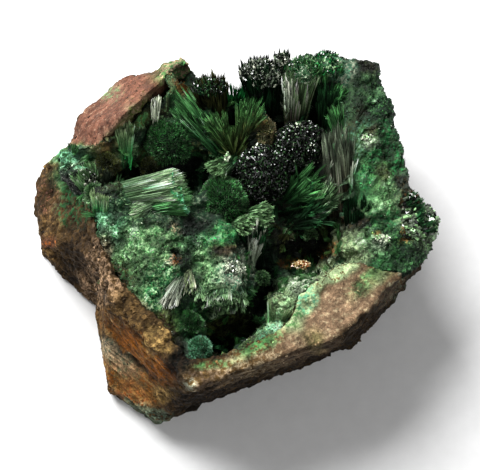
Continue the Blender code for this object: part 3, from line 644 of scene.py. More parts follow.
stripes = np.zeros(len(points))
longScale, acrossScale, upScale = rockLook["streakShape"]
for name, turn in rockLook["streaks"].items():
    share = weightOf(weights, rockPatches, name)
    strength = rockLook["bandStreaks"] if name.startswith("band") else 1.0
    t = math.radians(turn)
    lengthways = (points[:, 0] * math.cos(t) + points[:, 1] * math.sin(t)) / mm
    across = (-points[:, 0] * math.sin(t) + points[:, 1] * math.cos(t)) / mm
    for i in np.nonzero(share > rockLook["streakLeast"])[0]:
        p = Vector((lengthways[i] * longScale, across[i] * acrossScale, points[i, 2] / mm * upScale))
        stripes[i] += share[i] * noise.noise(p) * strength
moves = stripes * rockLook["streakDepth"]
for i in np.nonzero(normals[:, 2] < rockLook["wall"])[0]:
    p = Vector(points[i] / mm * np.array(rockLook["layerShape"]))
    moves[i] += noise.noise(p) * rockLook["layerDepth"]
moves[points[:, 2] < rockLook["flatFoot"] * mm] = 0.0
points = points + normals * (moves * mm)[:, None]
points[:, 2] = np.maximum(points[:, 2], 0.0)
setPoints(rock, points)

ground, fleck, share = patchTints(weights, rockPatches, plainRock)
# painted shade in the pits of the relief and painted light on its tops
shade = rockLook["pitShade"] + (rockLook["topShade"] - rockLook["pitShade"]) * rockTops
steep, steepFade = rockLook["frontSteep"]
# painted shadow on the front walls, from a place rightwards
front = ramp(-along[:, 1], *rockLook["frontTurn"]) * ramp(steep - along[:, 2], 0.0, steepFade)
front = front * ramp(points[:, 0] / mm, *rockLook["stainFrom"])
shade = shade * (1.0 - rockLook["frontStain"] * front)
swells = noiseAt(points, rockLook["swellEvery"])
shade = (shade * np.exp(rockLook["streakShade"] * stripes + rockLook["swellShade"] * swells))[:, None]
colourVerts(rock, "ground", ground * shade, np.ones(len(points)))
colourVerts(rock, "fleck", fleck * shade, share)
print("rock made:", len(rock.data.polygons), "faces")

# the bed that every sheaf stands on
bedLook = {
    "voxel": 0.46,
    "relief": [("CLOUDS", 5.0, 2.2), ("CLOUDS", 2.2, 1.7), ("VORONOI", 1.2, 0.7), ("CLOUDS", 0.5, 0.35)],
    "shrinkTop": -0.35,
    "growSide": 0.45,
    "sideTurn": (0.5, 1.6),
    # patches that lose much of the relief, as the places under the needles do
    "calm": ("fringe", "fringe low", "fringe right", "smooth green", "left corner"),
    "calmLoss": 0.65,
    "growthLoss": 0.85,
    "crackEvery": 3.6,
    "crackWidth": 0.07,
    "crackDepth": 0.8,
    "crackShade": 0.85,
    "crest": 36.0,         # mm, above this the relief is pressed flatter
    "overCrest": 0.4,
    "swellShade": 1.15,
    "swellEvery": 2.9,
    # painted shade in the pits and painted light on the tops
    "pitShade": 0.30,
    "topShade": 1.2,
}
bed = finePiece("malachite_crust", "crustBed", bedLook["voxel"])
points, normals = pointsAndNormals(bed)
weights = patchWeights(points, normals, crustPatches)
sideMiddle, sideSlope = bedLook["sideTurn"]
side = np.clip(sideMiddle - normals[:, 2] * sideSlope, 0.0, 1.0)
growth = bedLook["shrinkTop"] * (1 - side) + bedLook["growSide"] * side
points = points + normals * (growth * mm)[:, None]
points, inGrowths = pullIn(drawTo(points))
setPoints(bed, points)
normals = pointsAndNormals(bed)[1]
calm = sum(weightOf(weights, crustPatches, name) for name in bedLook["calm"])
shares = (1.0 - bedLook["growthLoss"] * inGrowths) * (1.0 - bedLook["calmLoss"] * calm)
roughen(bed, bedLook["relief"], shares)
bedTops = standing(points, pointsAndNormals(bed)[0], normals)
points, normals = pointsAndNormals(bed)
cracks = np.abs(noiseAt(points, bedLook["crackEvery"]))
cracks = np.clip(1.0 - cracks / bedLook["crackWidth"], 0.0, 1.0) * (1.0 - inGrowths)
points = points - normals * (cracks * bedLook["crackDepth"] * mm)[:, None]
crest = bedLook["crest"] * mm
pressed = crest + (points[:, 2] - crest) * bedLook["overCrest"]
points[:, 2] = np.where(points[:, 2] > crest, pressed, points[:, 2])
setPoints(bed, points)
# painted shade in the cracks
bedTops = bedTops * (1.0 - bedLook["crackShade"] * cracks)
ground, fleck, share = patchTints(weights, crustPatches, plainCrust)
swells = np.exp(bedLook["swellShade"] * noiseAt(points, bedLook["swellEvery"]))
# painted shade in the pits and painted light on the tops, times the swells
shade = swells * (bedLook["pitShade"] + (bedLook["topShade"] - bedLook["pitShade"]) * bedTops**1.5)
shade = shade[:, None]
colourVerts(bed, "ground", faded(ground * shade, shade), np.ones(len(points)))
colourVerts(bed, "fleck", faded(fleck * shade, shade), share)
print("bed made:", len(bed.data.polygons), "faces")


highest = 37.1 * mm      # no needle stands above this
palest = 0.9             # no needle is brighter than this


def unit(vectors):
    return vectors / np.maximum(np.linalg.norm(vectors, axis=-1, keepdims=True), 1e-12)


def varied(chance, spread, count, shift=0.0):
    # a factor for each, around 1
    return np.exp(chance.normal(shift, spread, count))[:, None]


def arrayPiece(name, verts, faces, colours, gloss):
    # one mesh from arrays: a block of vertices and the same faces for every shape
    count, each = verts.shape[:2]
    corners = (faces[None] + (np.arange(count) * each)[:, None, None]).reshape(-1)
    mesh = bpy.data.meshes.new(name)
    mesh.vertices.add(count * each)
    mesh.vertices.foreach_set("co", verts.ravel())
    mesh.loops.add(len(corners))
    mesh.loops.foreach_set("vertex_index", corners.astype(np.int32))
    mesh.polygons.add(len(corners) // 3)
    mesh.polygons.foreach_set("loop_start", np.arange(0, len(corners), 3, dtype=np.int32))
    mesh.update(calc_edges=True)
    mesh.shade_flat()
    made = bpy.data.objects.new(name, mesh)
    bpy.context.scene.collection.objects.link(made)
    colourVerts(made, "tint", colours.reshape(-1, 3), gloss.reshape(-1))
    print(name + ":", len(mesh.polygons), "triangles")
    return made


def crossways(starts, ends, rolls):
    # the axis of each needle and two directions square to it, turned by chance
    axes = unit(ends - starts)
    across = unit(np.cross(axes, rolls))
    return axes, across, np.cross(axes, across)


# widths of a needle as shares of its thickness, and where its tip starts
slimFoot = 0.55
needleShape = {"foot": 0.4, "shoulder": 0.5, "shoulderAt": 0.8, "shoulderTones": (0.35, 0.65)}


def slimPiece(name, batches):
    # the plainest needle, a three-sided spike, for velvet and short nap
    starts, ends, widths, roots, tips, gloss, rolls = [np.concatenate(part) for part in zip(*batches)]
    _, across, other = crossways(starts, ends, rolls)
    verts = np.zeros((len(starts), 4, 3))
    colours = np.repeat(roots[:, None], 4, 1)
    for k in range(3):
        a = math.tau * k / 3
        verts[:, k] = starts + (across * math.cos(a) + other * math.sin(a)) * widths[:, None] * slimFoot
    verts[:, 3] = ends
    colours[:, 3] = tips
    faces = np.array([(2, 1, 0), (0, 1, 3), (1, 2, 3), (2, 0, 3)])
    return arrayPiece(name, verts, faces, colours, np.repeat(gloss, 4))


def needlePiece(name, batches):
    # three-sided needles with a shoulder below the tip
    starts, ends, widths, roots, tips, gloss, rolls = [np.concatenate(part) for part in zip(*batches)]
    _, across, other = crossways(starts, ends, rolls)
    shoulders = starts + (ends - starts) * needleShape["shoulderAt"]
    rootTone, tipTone = needleShape["shoulderTones"]
    verts = np.zeros((len(starts), 7, 3))
    colours = np.zeros((len(starts), 7, 3))
    for k in range(3):
        a = math.tau * k / 3
        out = across * math.cos(a) + other * math.sin(a)
        verts[:, k] = starts + out * widths[:, None] * needleShape["foot"]
        verts[:, 3 + k] = shoulders + out * widths[:, None] * needleShape["shoulder"]
        colours[:, k] = roots
        colours[:, 3 + k] = roots * rootTone + tips * tipTone
    verts[:, 6] = ends
    colours[:, 6] = tips
    faces = [(2, 1, 0)]
    for k in range(3):
        j = (k + 1) % 3
        faces += [(k, j, 3 + j), (k, 3 + j, 3 + k), (3 + k, 3 + j, 6)]
    return arrayPiece(name, verts, np.array(faces), colours, np.repeat(gloss, 7))


# looks of the needles: root and tip colour, the darker root being painted shade deep in a growth, spread
# between needles, thickness in mm, gloss
looks = {
    "ink": ("ink", "bottle", 0.35, 0.20, 0.85),
    "bark": ("ink", "olive", 0.40, 0.16, 0.60),
    "dark": ("ink", "forest", 0.30, 0.15, 0.50),
    "bottle": ("bottle", "emerald", 0.30, 0.14, 0.40),
    "emerald": ("bottle", "leaf", 0.50, 0.14, 0.45),
    "leaf": ("forest", "mint", 0.30, 0.14, 0.45),
    "pale": ("bottle", "mint", 0.55, 0.13, 0.55),
    "striped": ("ink", "celery", 0.80, 0.15, 0.60),
    "fringe": ("leaf", "celery", 0.30, 0.12, 0.35),
    "block": ("bottle", "mint", 0.62, 0.13, 0.45),
    "star": ("olive", "leaf", 0.70, 0.13, 0.50),
    "slope": ("bottle", "leaf", 0.85, 0.13, 0.50),
    "blockLow": ("bottle", "leaf", 0.35, 0.13, 0.55),
    # painted glints, as pale flakes
    "flake": ("slate", "frost", 0.35, 0.26, 0.90),
    "silver": ("forest", "silver", 0.35, 0.15, 0.75),
    "grey": ("ink", "slate", 0.35, 0.16, 0.75),
    "olive": ("bark", "moss", 0.30, 0.13, 0.30),
    "velvetLit": ("forest", "leaf", 0.70, 0.17, 0.45),
    "mixed": ("bark", "slate", 0.70, 0.13, 0.60),
    "moor": ("moss", "fawn", 0.35, 0.15, 0.30),
    "teal": ("forest", "turquoise", 0.35, 0.14, 0.40),
    "rim": ("emerald", "turquoise", 0.30, 0.13, 0.40),
    # painted glint, as a pale blade
    "blade": ("silver", "frost", 0.25, 0.26, 0.90),
    "paleFan": ("emerald", "celery", 0.30, 0.13, 0.40),
    "silverMix": ("bark", "mint", 0.80, 0.14, 0.65),
    "thinSilver": ("slate", "silver", 0.60, 0.11, 0.90),
}
widthRange = (0.7, 1.35)
glossRange = (0.6, 1.3)


def dress(count, look, chance, shade=None):
    root, tip, spread, width, gloss = looks[look]
    vary = np.exp(chance.normal(0.0, spread, count))
    if shade is not None:
        vary = vary * shade
    roots = tint[root][None] * vary[:, None]
    tips = np.clip(tint[tip][None] * vary[:, None], 0.0, palest)
    widths = width * mm * chance.uniform(*widthRange, count)
    return widths, roots, tips, np.clip(gloss * chance.uniform(*glossRange, count), 0.0, 1.0)


def frameOf(axis, turn):
    # two directions square to a sheaf's axis
    lean = axis.to_track_quat("Z", "Y").to_matrix()
    x, y = [np.array(lean.col[k]) for k in range(2)]
    t = math.radians(turn)
    return math.cos(t) * x + math.sin(t) * y, -math.sin(t) * x + math.cos(t) * y


# how every sheaf grows: places along it are shares of its length, places out from its axis of its radius
sheafLook = {
    "onSkin": 0.6,                # share of the bundles that lie on its skin
    "skinAt": (0.84, 1.05),
    "skinFrom": (-0.05, 0.85),
    "skinLength": (0.25, 0.65),
    "coreFrom": (0.3, 0.85),
    "crown": 0.1,                 # the middle of its end stands further out
    "ragged": 0.55,
    "tone": (-0.15, 0.55),
    "skinTone": (0.945, 9.0),     # painted light: bundles further out than this are lighter, and how fast
    "swingApart": 0.07,           # mm between the needles of a bundle
    "sideApart": 0.30,
    "outApart": 0.035,
    "outMost": 1.06,
    "firstApart": 0.04,
    "lastApart": 0.035,
    "shortest": 0.12,
    "widest": 1.15,
    "footIn": 0.94,
    "tipOut": (0.98, 1.04),
    "tipPower": 1.5,
}


def bundleOf(count, look):
    # how many needles grow together
    if count > 2000:
        return 16
    if look == "leaf":
        return 4
    return 8 if count > 100 else 2


def sheafNeedles(row, chance):
    # bundles of fibres along the skin of a widening sheaf, more of them ending at its ragged tip
    root, tip, rootRadius, tipRadius, flat, turn, count, look, ragged, swing = row
    root, tip = place(*root), place(*tip)
    x, y = frameOf(tip - root, turn)
    origin, axis = np.array(root), np.array(tip - root)
    each = bundleOf(count, look)
    bundles = count // each
    count = bundles * each

    def spread(values, wander):
        return np.repeat(values, each, 0) + chance.normal(0.0, 1.0, (count,) + values.shape[1:]) * wander

    skin = chance.uniform(0.0, 1.0, bundles) < (1.0 if look == "rim" else sheafLook["onSkin"])
    out = np.sqrt(chance.uniform(0.0, 1.0, bundles))
    out = np.where(skin, chance.uniform(*sheafLook["skinAt"], bundles), out)
    angle = chance.uniform(0.0, math.tau, bundles)
    skinFirst = chance.uniform(*sheafLook["skinFrom"], bundles)
    first = np.where(skin, skinFirst, chance.uniform(*sheafLook["coreFrom"], bundles))
    last = 1.0 + sheafLook["crown"] * (1.0 - out * out)
    last = last - ragged * chance.exponential(sheafLook["ragged"], bundles)
    skinLast = first + chance.uniform(*sheafLook["skinLength"], bundles)
    last = np.where(skin, np.minimum(last, skinLast), last)
    toneAt, tonePace = sheafLook["skinTone"]
    tone = chance.normal(*sheafLook["tone"], bundles) + np.where(skin, (out - toneAt) * tonePace, 0.0)
    tone = np.repeat(np.exp(tone), each)
    swing = spread(chance.normal(0.0, swing * mm, (bundles, 3)), sheafLook["swingApart"] * mm)
    angle = spread(angle, sheafLook["sideApart"] * mm / (tipRadius * mm))
    out = np.clip(spread(out, sheafLook["outApart"]), 0.0, sheafLook["outMost"])
    first = spread(first, sheafLook["firstApart"])
    last = spread(last, sheafLook["lastApart"])
    first = np.minimum(first, last - sheafLook["shortest"])

    def at(share, swell):
        wide = np.clip(share, 0.0, sheafLook["widest"])
        radius = (rootRadius + (tipRadius - rootRadius) * wide) * mm * swell
        ring = np.cos(angle)[:, None] * x + flat * np.sin(angle)[:, None] * y
        return origin + axis * share[:, None] + ring * (out * radius)[:, None]

    starts = at(first, sheafLook["footIn"])
    ends = at(last, chance.uniform(*sheafLook["tipOut"], count)) + swing
    ends[:, 2] = np.minimum(ends[:, 2], highest)
    widths, roots, tips, gloss = dress(count, look, chance, tone)
    # painted shade: needles that end deep in the sheaf keep more of the dark root colour
    reach = np.clip(last, 0.0, 1.0)[:, None] ** sheafLook["tipPower"]
    tips = roots * (1 - reach) + tips * reach
    return starts, ends, widths, roots, tips, gloss, chance.normal(size=(count, 3))


def sheafPiece(name, rows, seed):
    chance = np.random.RandomState(seed)
    return needlePiece(name, [sheafNeedles(row, chance) for row in rows])


growths = [
    sheafPiece("darkSheaves", darkSheaves, 11),
    sheafPiece("greenSheaves", greenSheaves + lumpySheaves, 12),
    sheafPiece("sheafBlock", blockSheaves, 13),
    sheafPiece("paleBlock", paleSheaves, 14),
]
# a dome gets this many points: both of these times its two radii, over the spacing squared
domeRoom = 2.4 * math.pi
domeExtra = 1.6
domeLow = -0.2      # its skin ends where it turns under


def domeSkin(cap, chance):
    # points spread all over a dome, and the ways that they face
    x, y, crown, radii, turn, spacing = cap[:6]
    count = int(domeRoom * radii[0] * radii[1] * domeExtra / spacing**2)
    way = unit(chance.normal(size=(count * 2, 3)))
    way = way[way[:, 2] > domeLow][:count]
    t = math.radians(turn)
    scaled = way * np.array(radii) * mm
    skin = np.column_stack([
        scaled[:, 0] * math.cos(t) - scaled[:, 1] * math.sin(t),
        scaled[:, 0] * math.sin(t) + scaled[:, 1] * math.cos(t),
        scaled[:, 2],
    ])
    return np.array(place(x, y, crown - radii[2])) + skin, unit(skin)


velvetLook = {
    "lumpEvery": 1.3,
    "lumps": 0.55,
    "uneven": 0.06,
    "lean": 0.08,
    "shade": (1.1, 0.2),      # painted light: how much lighter the lumps are, and the whole dome
    "thicker": 1.3,
    "grey": (0.38, 1.4),      # share of the needles with a grey tip, and its strength
    "bright": (0.03, 0.8),
}
chance = np.random.RandomState(21)
batches = []
for cap in velvetCaps:
    length, look = cap[6:]
    ends, ways = domeSkin(cap, chance)
    lumps = noiseAt(ends, velvetLook["lumpEvery"])
    lift = lumps * velvetLook["lumps"] + chance.normal(0.0, velvetLook["uneven"], len(ends))
    ends = ends + ways * (lift * mm)[:, None]
    starts = ends - unit(ways + chance.normal(0.0, velvetLook["lean"], ways.shape)) * length * mm
    # painted light on the lumps and over the whole dome
    lumpShade, plainShade = velvetLook["shade"]
    widths, roots, tips, gloss = dress(len(ends), look, chance, np.exp(lumpShade * lumps + plainShade))
    pale = chance.uniform(0.0, 1.0, len(ends))
    for colour, (part, strength) in (("slate", velvetLook["grey"]), ("silver", velvetLook["bright"])):
        tips = np.where((pale < part)[:, None], tint[colour] * strength, tips)
    batches.append((
        starts, ends, widths * velvetLook["thicker"], roots, np.clip(tips, 0.0, palest), gloss,
        chance.normal(size=ends.shape),
    ))
growths.append(slimPiece("velvetDomes", batches))


crystalShape = {"turn": 2.399, "slant": 0.9, "flat": 0.8, "slope": 0.6}


def crystalPiece(name, batches):
    # stubby four-sided crystals with a slanting end face, for hard glints
    feet, ends, widths, colours, tips, gloss, rolls = [np.concatenate(part) for part in zip(*batches)]
    axes, across, other = crossways(feet, ends, rolls)
    slant = np.abs(np.sin(np.arange(len(feet)) * crystalShape["turn"])) * crystalShape["slant"]
    verts = np.zeros((len(feet), 8, 3))
    shades = np.zeros((len(feet), 8, 3))
    for k, (a, b) in enumerate(((-1, -1), (1, -1), (1, 1), (-1, 1))):
        out = (across * a + other * b * crystalShape["flat"]) * widths[:, None] * 0.5
        verts[:, k] = feet + out
        verts[:, 4 + k] = ends + out - axes * (a * slant * widths * crystalShape["slope"])[:, None]
        shades[:, k] = colours
        shades[:, 4 + k] = tips
    faces = [(3, 1, 0), (3, 2, 1), (4, 5, 6), (4, 6, 7)]
    for k in range(4):
        j = (k + 1) % 4
        faces += [(k, j, 4 + j), (k, 4 + j, 4 + k)]
    return arrayPiece(name, verts, np.array(faces), shades, np.repeat(gloss, 8))


def litAt(points, spots):
    # 1 at the middle of every spot of the picture where glints are painted, and 0 away from them
    lit = np.zeros(len(points))
    for spot in spots:
        lit = np.maximum(lit, nearSpot(points, *spot))
    return lit


blackLook = {
    "lumpEvery": 1.6,
    "lumps": 0.9,
    "uneven": (-0.2, 0.3),
    "lean": 0.35,
    # painted light: how much lighter the lumps are
    "lumpShade": 1.2,
    "width": (0.14, 0.36),
    "length": 1.3,
    "grey": (0.16, 0.8),      # share of the crystals with a grey-green end, and its strength
    "bright": (0.001, 0.12),  # share with a frost-coloured end, painted glints, and the share more where they are painted
    "brightness": 1.2,
    "gloss": (0.3, 0.95),
    "glossShares": (0.65, 0.35),
    # where the painted glints stand: x, y, reach across and up in the picture
    "glitter": [(315, 136, 5, 6), (304, 160, 6, 4), (310, 148, 6, 5), (296, 126, 8, 7), (262, 146, 9, 5)],
}
chance = np.random.RandomState(31)
batches = []
for cap in blackCaps:
    ends, ways = domeSkin(cap, chance)
    count = len(ends)
    lumps = noiseAt(ends, blackLook["lumpEvery"])
    lift = lumps * blackLook["lumps"] + chance.uniform(*blackLook["uneven"], count)
    ends = ends + ways * (lift * mm)[:, None]
    ways = unit(ways + chance.normal(0.0, blackLook["lean"], ways.shape))
    # painted light on the lumps
    roots = dress(count, "ink", chance, np.exp(blackLook["lumpShade"] * lumps))[1]
    widths = chance.uniform(*blackLook["width"], count) * mm
    part, strength = blackLook["grey"]
    grey = (chance.uniform(0.0, 1.0, count) < part)[:, None]
    tips = np.where(grey, tint["fern"] * strength, roots)
    # painted glints: frost-coloured ends on some crystals, most near the spots
    part, more = blackLook["bright"]
    lit = litAt(ends, blackLook["glitter"])
    bright = (chance.uniform(0.0, 1.0, count) < part + more * lit)[:, None]
    tips = np.where(bright, blackLook["brightness"] * tint["frost"], tips)
    gloss = chance.choice(blackLook["gloss"], count, p=blackLook["glossShares"])
    feet = ends - ways * blackLook["length"] * mm
    batches.append((feet, ends, widths, roots, tips, gloss, chance.normal(size=ends.shape)))
growths.append(crystalPiece("blackDomes", batches))

# hard crystals: middle, radii, way that they point, number, width in mm, colours and their shares
crystalBeds = [
    # the silver ends on the crowns of the black fans are painted glints
    ((4.6, 32.6, 33.2), (4.6, 2.9, 1.5), (0.0, 0.8, 0.8), 900, (0.18, 0.42),
     ("ink", "slate", "silver"), (0.62, 0.28, 0.10)),
    ((8.4, 34.8, 34.8), (1.5, 1.3, 1.4), (0.0, 0.8, 0.8), 160, (0.20, 0.45),
     ("ink", "slate", "silver"), (0.55, 0.30, 0.15)),
    ((-6.2, 30.4, 31.2), (3.7, 2.0, 1.2), (0.0, 0.8, 0.8), 320, (0.16, 0.34),
     ("ink", "bottle", "fern"), (0.55, 0.30, 0.15)),
    ((12.8, 33.0, 34.6), (3.8, 2.6, 1.6), (0.0, 0.6, 0.9), 240, (0.16, 0.34),
     ("forest", "fern", "mint"), (0.56, 0.34, 0.10)),
    ((17.6, 34.0, 34.6), (3.0, 2.9, 1.6), (0.1, 0.6, 0.9), 240, (0.16, 0.34),
     ("bottle", "emerald", "mint"), (0.62, 0.32, 0.06)),
    ((35.2, 2.4, 29.2), (4.2, 3.8, 2.6), (0.9, 0.0, 0.5), 520, (0.30, 0.75),
     ("ink", "slate", "mint"), (0.30, 0.42, 0.28)),
    ((33.6, 6.2, 29.4), (2.4, 2.4, 2.4), (0.8, 0.4, 0.6), 200, (0.30, 0.70),
     ("ink", "slate", "umber"), (0.34, 0.36, 0.30)),
    ((-30.6, 12.4, 27.6), (2.0, 1.8, 1.8), (0.3, 0.6, 0.9), 220, (0.14, 0.34),
     ("ink", "slate", "silver"), (0.60, 0.28, 0.12)),
    ((-2.5, 15.4, 31.0), (0.6, 0.9, 0.6), (0.0, 0.0, 1.0), 18, (0.25, 0.45),
     ("mint", "frost", "silver"), (0.34, 0.33, 0.33)),
    # painted glints: the next two groups of pale crystals
    ((25.4, 19.0, 32.6), (1.2, 0.8, 0.8), (0.0, 0.0, 1.0), 36, (0.18, 0.42),
     ("mint", "frost", "silver"), (0.34, 0.33, 0.33)),
    ((28.0, -2.0, 32.0), (1.5, 0.9, 0.8), (0.0, 0.0, 1.0), 44, (0.18, 0.42),
     ("mint", "frost", "silver"), (0.34, 0.33, 0.33)),
    ((12.1, -5.6, 26.3), (1.9, 0.9, 0.7), (0.0, 0.3, 0.9), 110, (0.14, 0.34),
     ("cream", "sand", "rust"), (0.42, 0.34, 0.24)),
    # painted glints: a group of pale crystals
    ((-1.0, -7.6, 31.0), (2.2, 1.3, 0.8), (0.0, 0.0, 1.0), 120, (0.14, 0.38),
     ("slate", "frost", "silver"), (0.40, 0.30, 0.30)),
]
crystalLook = {
    "reach": (0.75, 1.05),
    "outwards": 0.6,
    "lean": 0.35,
    "spread": 0.3,
    "slimness": 2.4,
    # painted shade: the feet of the crystals are darker
    "rootTone": 0.6,
    "gloss": 0.85,
}
chance = np.random.RandomState(32)
batches = []
for centre, radii, heading, count, width, tones, parts in crystalBeds:
    way = unit(chance.normal(size=(count, 3)))
    way[:, 2] = np.abs(way[:, 2])
    reach = chance.uniform(*crystalLook["reach"], count)[:, None]
    ends = np.array(place(*centre)) + way * np.array(radii) * mm * reach
    lean = chance.normal(0.0, crystalLook["lean"], way.shape)
    ways = unit(way * crystalLook["outwards"] + np.array(heading) + lean)
    picked = chance.choice(len(tones), count, p=parts)
    colours = np.array([tint[name] for name in tones])[picked] * varied(chance, crystalLook["spread"], count)
    widths = chance.uniform(*width, count) * mm
    batches.append((
        ends - ways * (widths * crystalLook["slimness"])[:, None], ends, widths,
        colours * crystalLook["rootTone"], np.clip(colours, 0.0, palest),
        np.full(count, crystalLook["gloss"]), chance.normal(size=way.shape),
    ))
growths.append(crystalPiece("hardCrystals", batches))


# the room that the growths keep: mm around a dome, and the part of a sheaf and of its radius
growthRoom = {"dome": 0.2, "sheafFrom": 0.3, "sheafTo": 1.12, "sheafWide": 1.1}


def offGrowths(centres):
    # 0 on the domes and along the sheaves, which have needles of their own
    free = np.ones(len(centres))
    table = centres / mm - np.array(middle)
    for cap in velvetCaps + blackCaps:
        away, square = overDome(table, cap, growthRoom["dome"])
        free[(square < 1.0) & (away[:, 2] > 0.0)] = 0.0
    for row in darkSheaves + greenSheaves + blockSheaves:
        _, share, away, radius = alongSheaf(table, row)
        near = np.linalg.norm(away, axis=1) < radius * growthRoom["sheafWide"]
        free[(share > growthRoom["sheafFrom"]) & (share < growthRoom["sheafTo"]) & near] = 0.0
    return free


def samplesOf(made, count, seed, keep):
    # random faces of a piece, picked by area, where keep says so
    chance = np.random.RandomState(seed)
    faces = made.data.polygons
    centres, ways = readAll(faces, "center"), readAll(faces, "normal")
    chances = readAll(faces, "area", 1) * keep(centres, ways)
    picked = chance.choice(len(faces), count, p=chances / chances.sum())
    return centres[picked], ways[picked], picked, chance


bedJitter = 0.12      # mm


def bedSamples(count, seed, keep):
    # such places on the bed, a little strewn, and how light the bed is there
    centres, ways, picked, chance = samplesOf(bed, count, seed, keep)
    jitter = chance.normal(0.0, bedJitter * mm, (count, 3))
    corners = [bed.data.polygons[i].vertices[0] for i in picked.tolist()]
    return centres + jitter, ways, bedTops[corners] * swells[corners], chance


def showing(centres, ways):
    return (ways[:, 2] > -0.1).astype(float)


def patchColours(points, normals, patches, plain, chance):
    # the ground or the fleck of the patches at each point
    ground, fleck, share = patchTints(patchWeights(points, normals, patches), patches, plain)
    pick = (chance.uniform(0.0, 1.0, len(points)) < share)[:, None]
    return np.where(pick, fleck, ground)


# fans that cover the valley: a narrow brush of needles leaning out of the bed
fanLook = {
    "fans": 520,
    "each": 26,
    "rightmost": 29.0,
    "rearmost": 26.5,
    "top": 28.0,
    "topFade": 2.5,
    "spread": 0.45,
    "brownTone": 0.5,
    "brownReach": 0.4,
    "heading": (0.8, 0.4, 0.3),      # sideways, out of the bed and upwards
    "reach": (1.8, 4.8),
    "uneven": (0.75, 1.05),
    "sunk": 0.7,
    "opening": 0.36,
    "lean": 0.10,
    "rounding": 0.25,
    "needleSpread": 0.25,
    "width": (0.10, 0.20),
    "rootTone": 0.18,
    "tipTone": 1.9,
    "tipMost": 1.2,
    "gloss": 0.5,
}


def inValley(centres, ways):
    low = (centres[:, 0] < fanLook["rightmost"] * mm) * (centres[:, 1] < fanLook["rearmost"] * mm)
    deep = ramp(fanLook["top"] * mm - centres[:, 2], 0.0, fanLook["topFade"] * mm)
    return low * offGrowths(centres) * showing(centres, ways) * deep


feet, ways, _, chance = bedSamples(fanLook["fans"], 41, inValley)
colours = patchColours(feet, ways, crustPatches, plainCrust, chance)
colours = colours * varied(chance, fanLook["spread"], len(feet))
brown = colours[:, 0] > colours[:, 1]
colours[brown] = tint["olive"] * fanLook["brownTone"]
sidewards, outwards, upwards = fanLook["heading"]
heading = unit(np.cross(ways, chance.normal(size=feet.shape))) * sidewards + ways * outwards
heading = unit(heading + np.array([0.0, 0.0, upwards]))
each = fanLook["each"]
reach = chance.uniform(*fanLook["reach"], len(feet)) * np.where(brown, fanLook["brownReach"], 1.0)
reach = np.repeat(reach, each)
sideways = np.repeat(unit(np.cross(heading, ways)), each, 0)
foot, way, heading = [np.repeat(a, each, 0) for a in (feet - heading * fanLook["sunk"] * mm, ways, heading)]
fanned = chance.uniform(-1.0, 1.0, len(foot))
angle = (fanned * fanLook["opening"])[:, None]
lean = way * chance.normal(0.0, fanLook["lean"], len(foot))[:, None]
lean = unit(heading * np.cos(angle) + sideways * np.sin(angle) + lean)
reach = reach * (1.0 - fanLook["rounding"] * fanned**2) * chance.uniform(*fanLook["uneven"], len(foot))
shade = np.repeat(colours, each, 0) * varied(chance, fanLook["needleSpread"], len(foot))
# painted shade at the roots of the fans and painted light at their tips
growths.append(needlePiece("valleyFans", [(
    foot, foot + lean * (reach * mm)[:, None], chance.uniform(*fanLook["width"], len(foot)) * mm,
    shade * fanLook["rootTone"], np.minimum(shade * fanLook["tipTone"], tint["leaf"] * fanLook["tipMost"]),
    np.full(len(foot), fanLook["gloss"]), chance.normal(size=foot.shape),
)]))

# the nap on the shelf and the flank
shelfLook = {
    "fibres": 22000,
    "length": (0.20, 0.65),
    "width": (0.10, 0.22),
    "sunk": 0.15,
    "from": (25.0, 2.0),        # mm, it is full above this height, and how fast it thins out below
    "least": 0.1,
    "shade": (0.35, 0.85),      # painted shade in the pits, and how much more painted light on the tops
    "swirlEvery": 2.6,
    "untidy": 0.12,
    "lift": (0.05, 0.35),
    "patchEvery": (1.2, 3.1),
    "patchShade": (0.5, 0.4),
    "spread": 0.2,
    "darker": -0.15,
    "rootTone": 0.7,
    "tipTone": 1.15,
    "gloss": 0.35,
}


def onShelf(centres, ways):
    start, span = shelfLook["from"]
    high = np.maximum(ramp(centres[:, 2], start * mm, span * mm), shelfLook["least"])
    return offGrowths(centres) * showing(centres, ways) * high


feet, ways, tops, chance = bedSamples(shelfLook["fibres"], 51, onShelf)
dark, lighter = shelfLook["shade"]
shade = (dark + lighter * tops)[:, None]
colours = faded(patchColours(feet, ways, crustPatches, plainCrust, chance) * shade, shade)
swirl = np.array([noise.noise_vector(Vector(p) / (shelfLook["swirlEvery"] * mm)) for p in feet])
lie = unit(swirl + shelfLook["untidy"] * chance.normal(size=feet.shape))
lie = lie - ways * (lie * ways).sum(1)[:, None]
lie = unit(lie + ways * chance.uniform(*shelfLook["lift"], len(feet))[:, None])
length = chance.uniform(*shelfLook["length"], len(feet)) * mm
patchy, broad = [noiseAt(feet, every) for every in shelfLook["patchEvery"]]
patchyShade, broadShade = shelfLook["patchShade"]
vary = chance.normal(0.0, shelfLook["spread"], len(feet)) + patchyShade * patchy + broadShade * broad
vary = np.exp(vary + shelfLook["darker"])[:, None]
# painted shade at the roots of the nap, with lighter tips
growths.append(slimPiece("shelfNap", [(
    feet - ways * shelfLook["sunk"] * mm, feet + lie * length[:, None],
    chance.uniform(*shelfLook["width"], len(feet)) * mm, colours * vary * shelfLook["rootTone"],
    np.clip(colours * vary * shelfLook["tipTone"], 0.0, palest), np.full(len(feet), shelfLook["gloss"]),
    chance.normal(size=feet.shape),
)]))


grainShape = {"corner": (0.55, 1.3), "uneven": 0.12, "flat": 0.7, "gloss": 0.3}


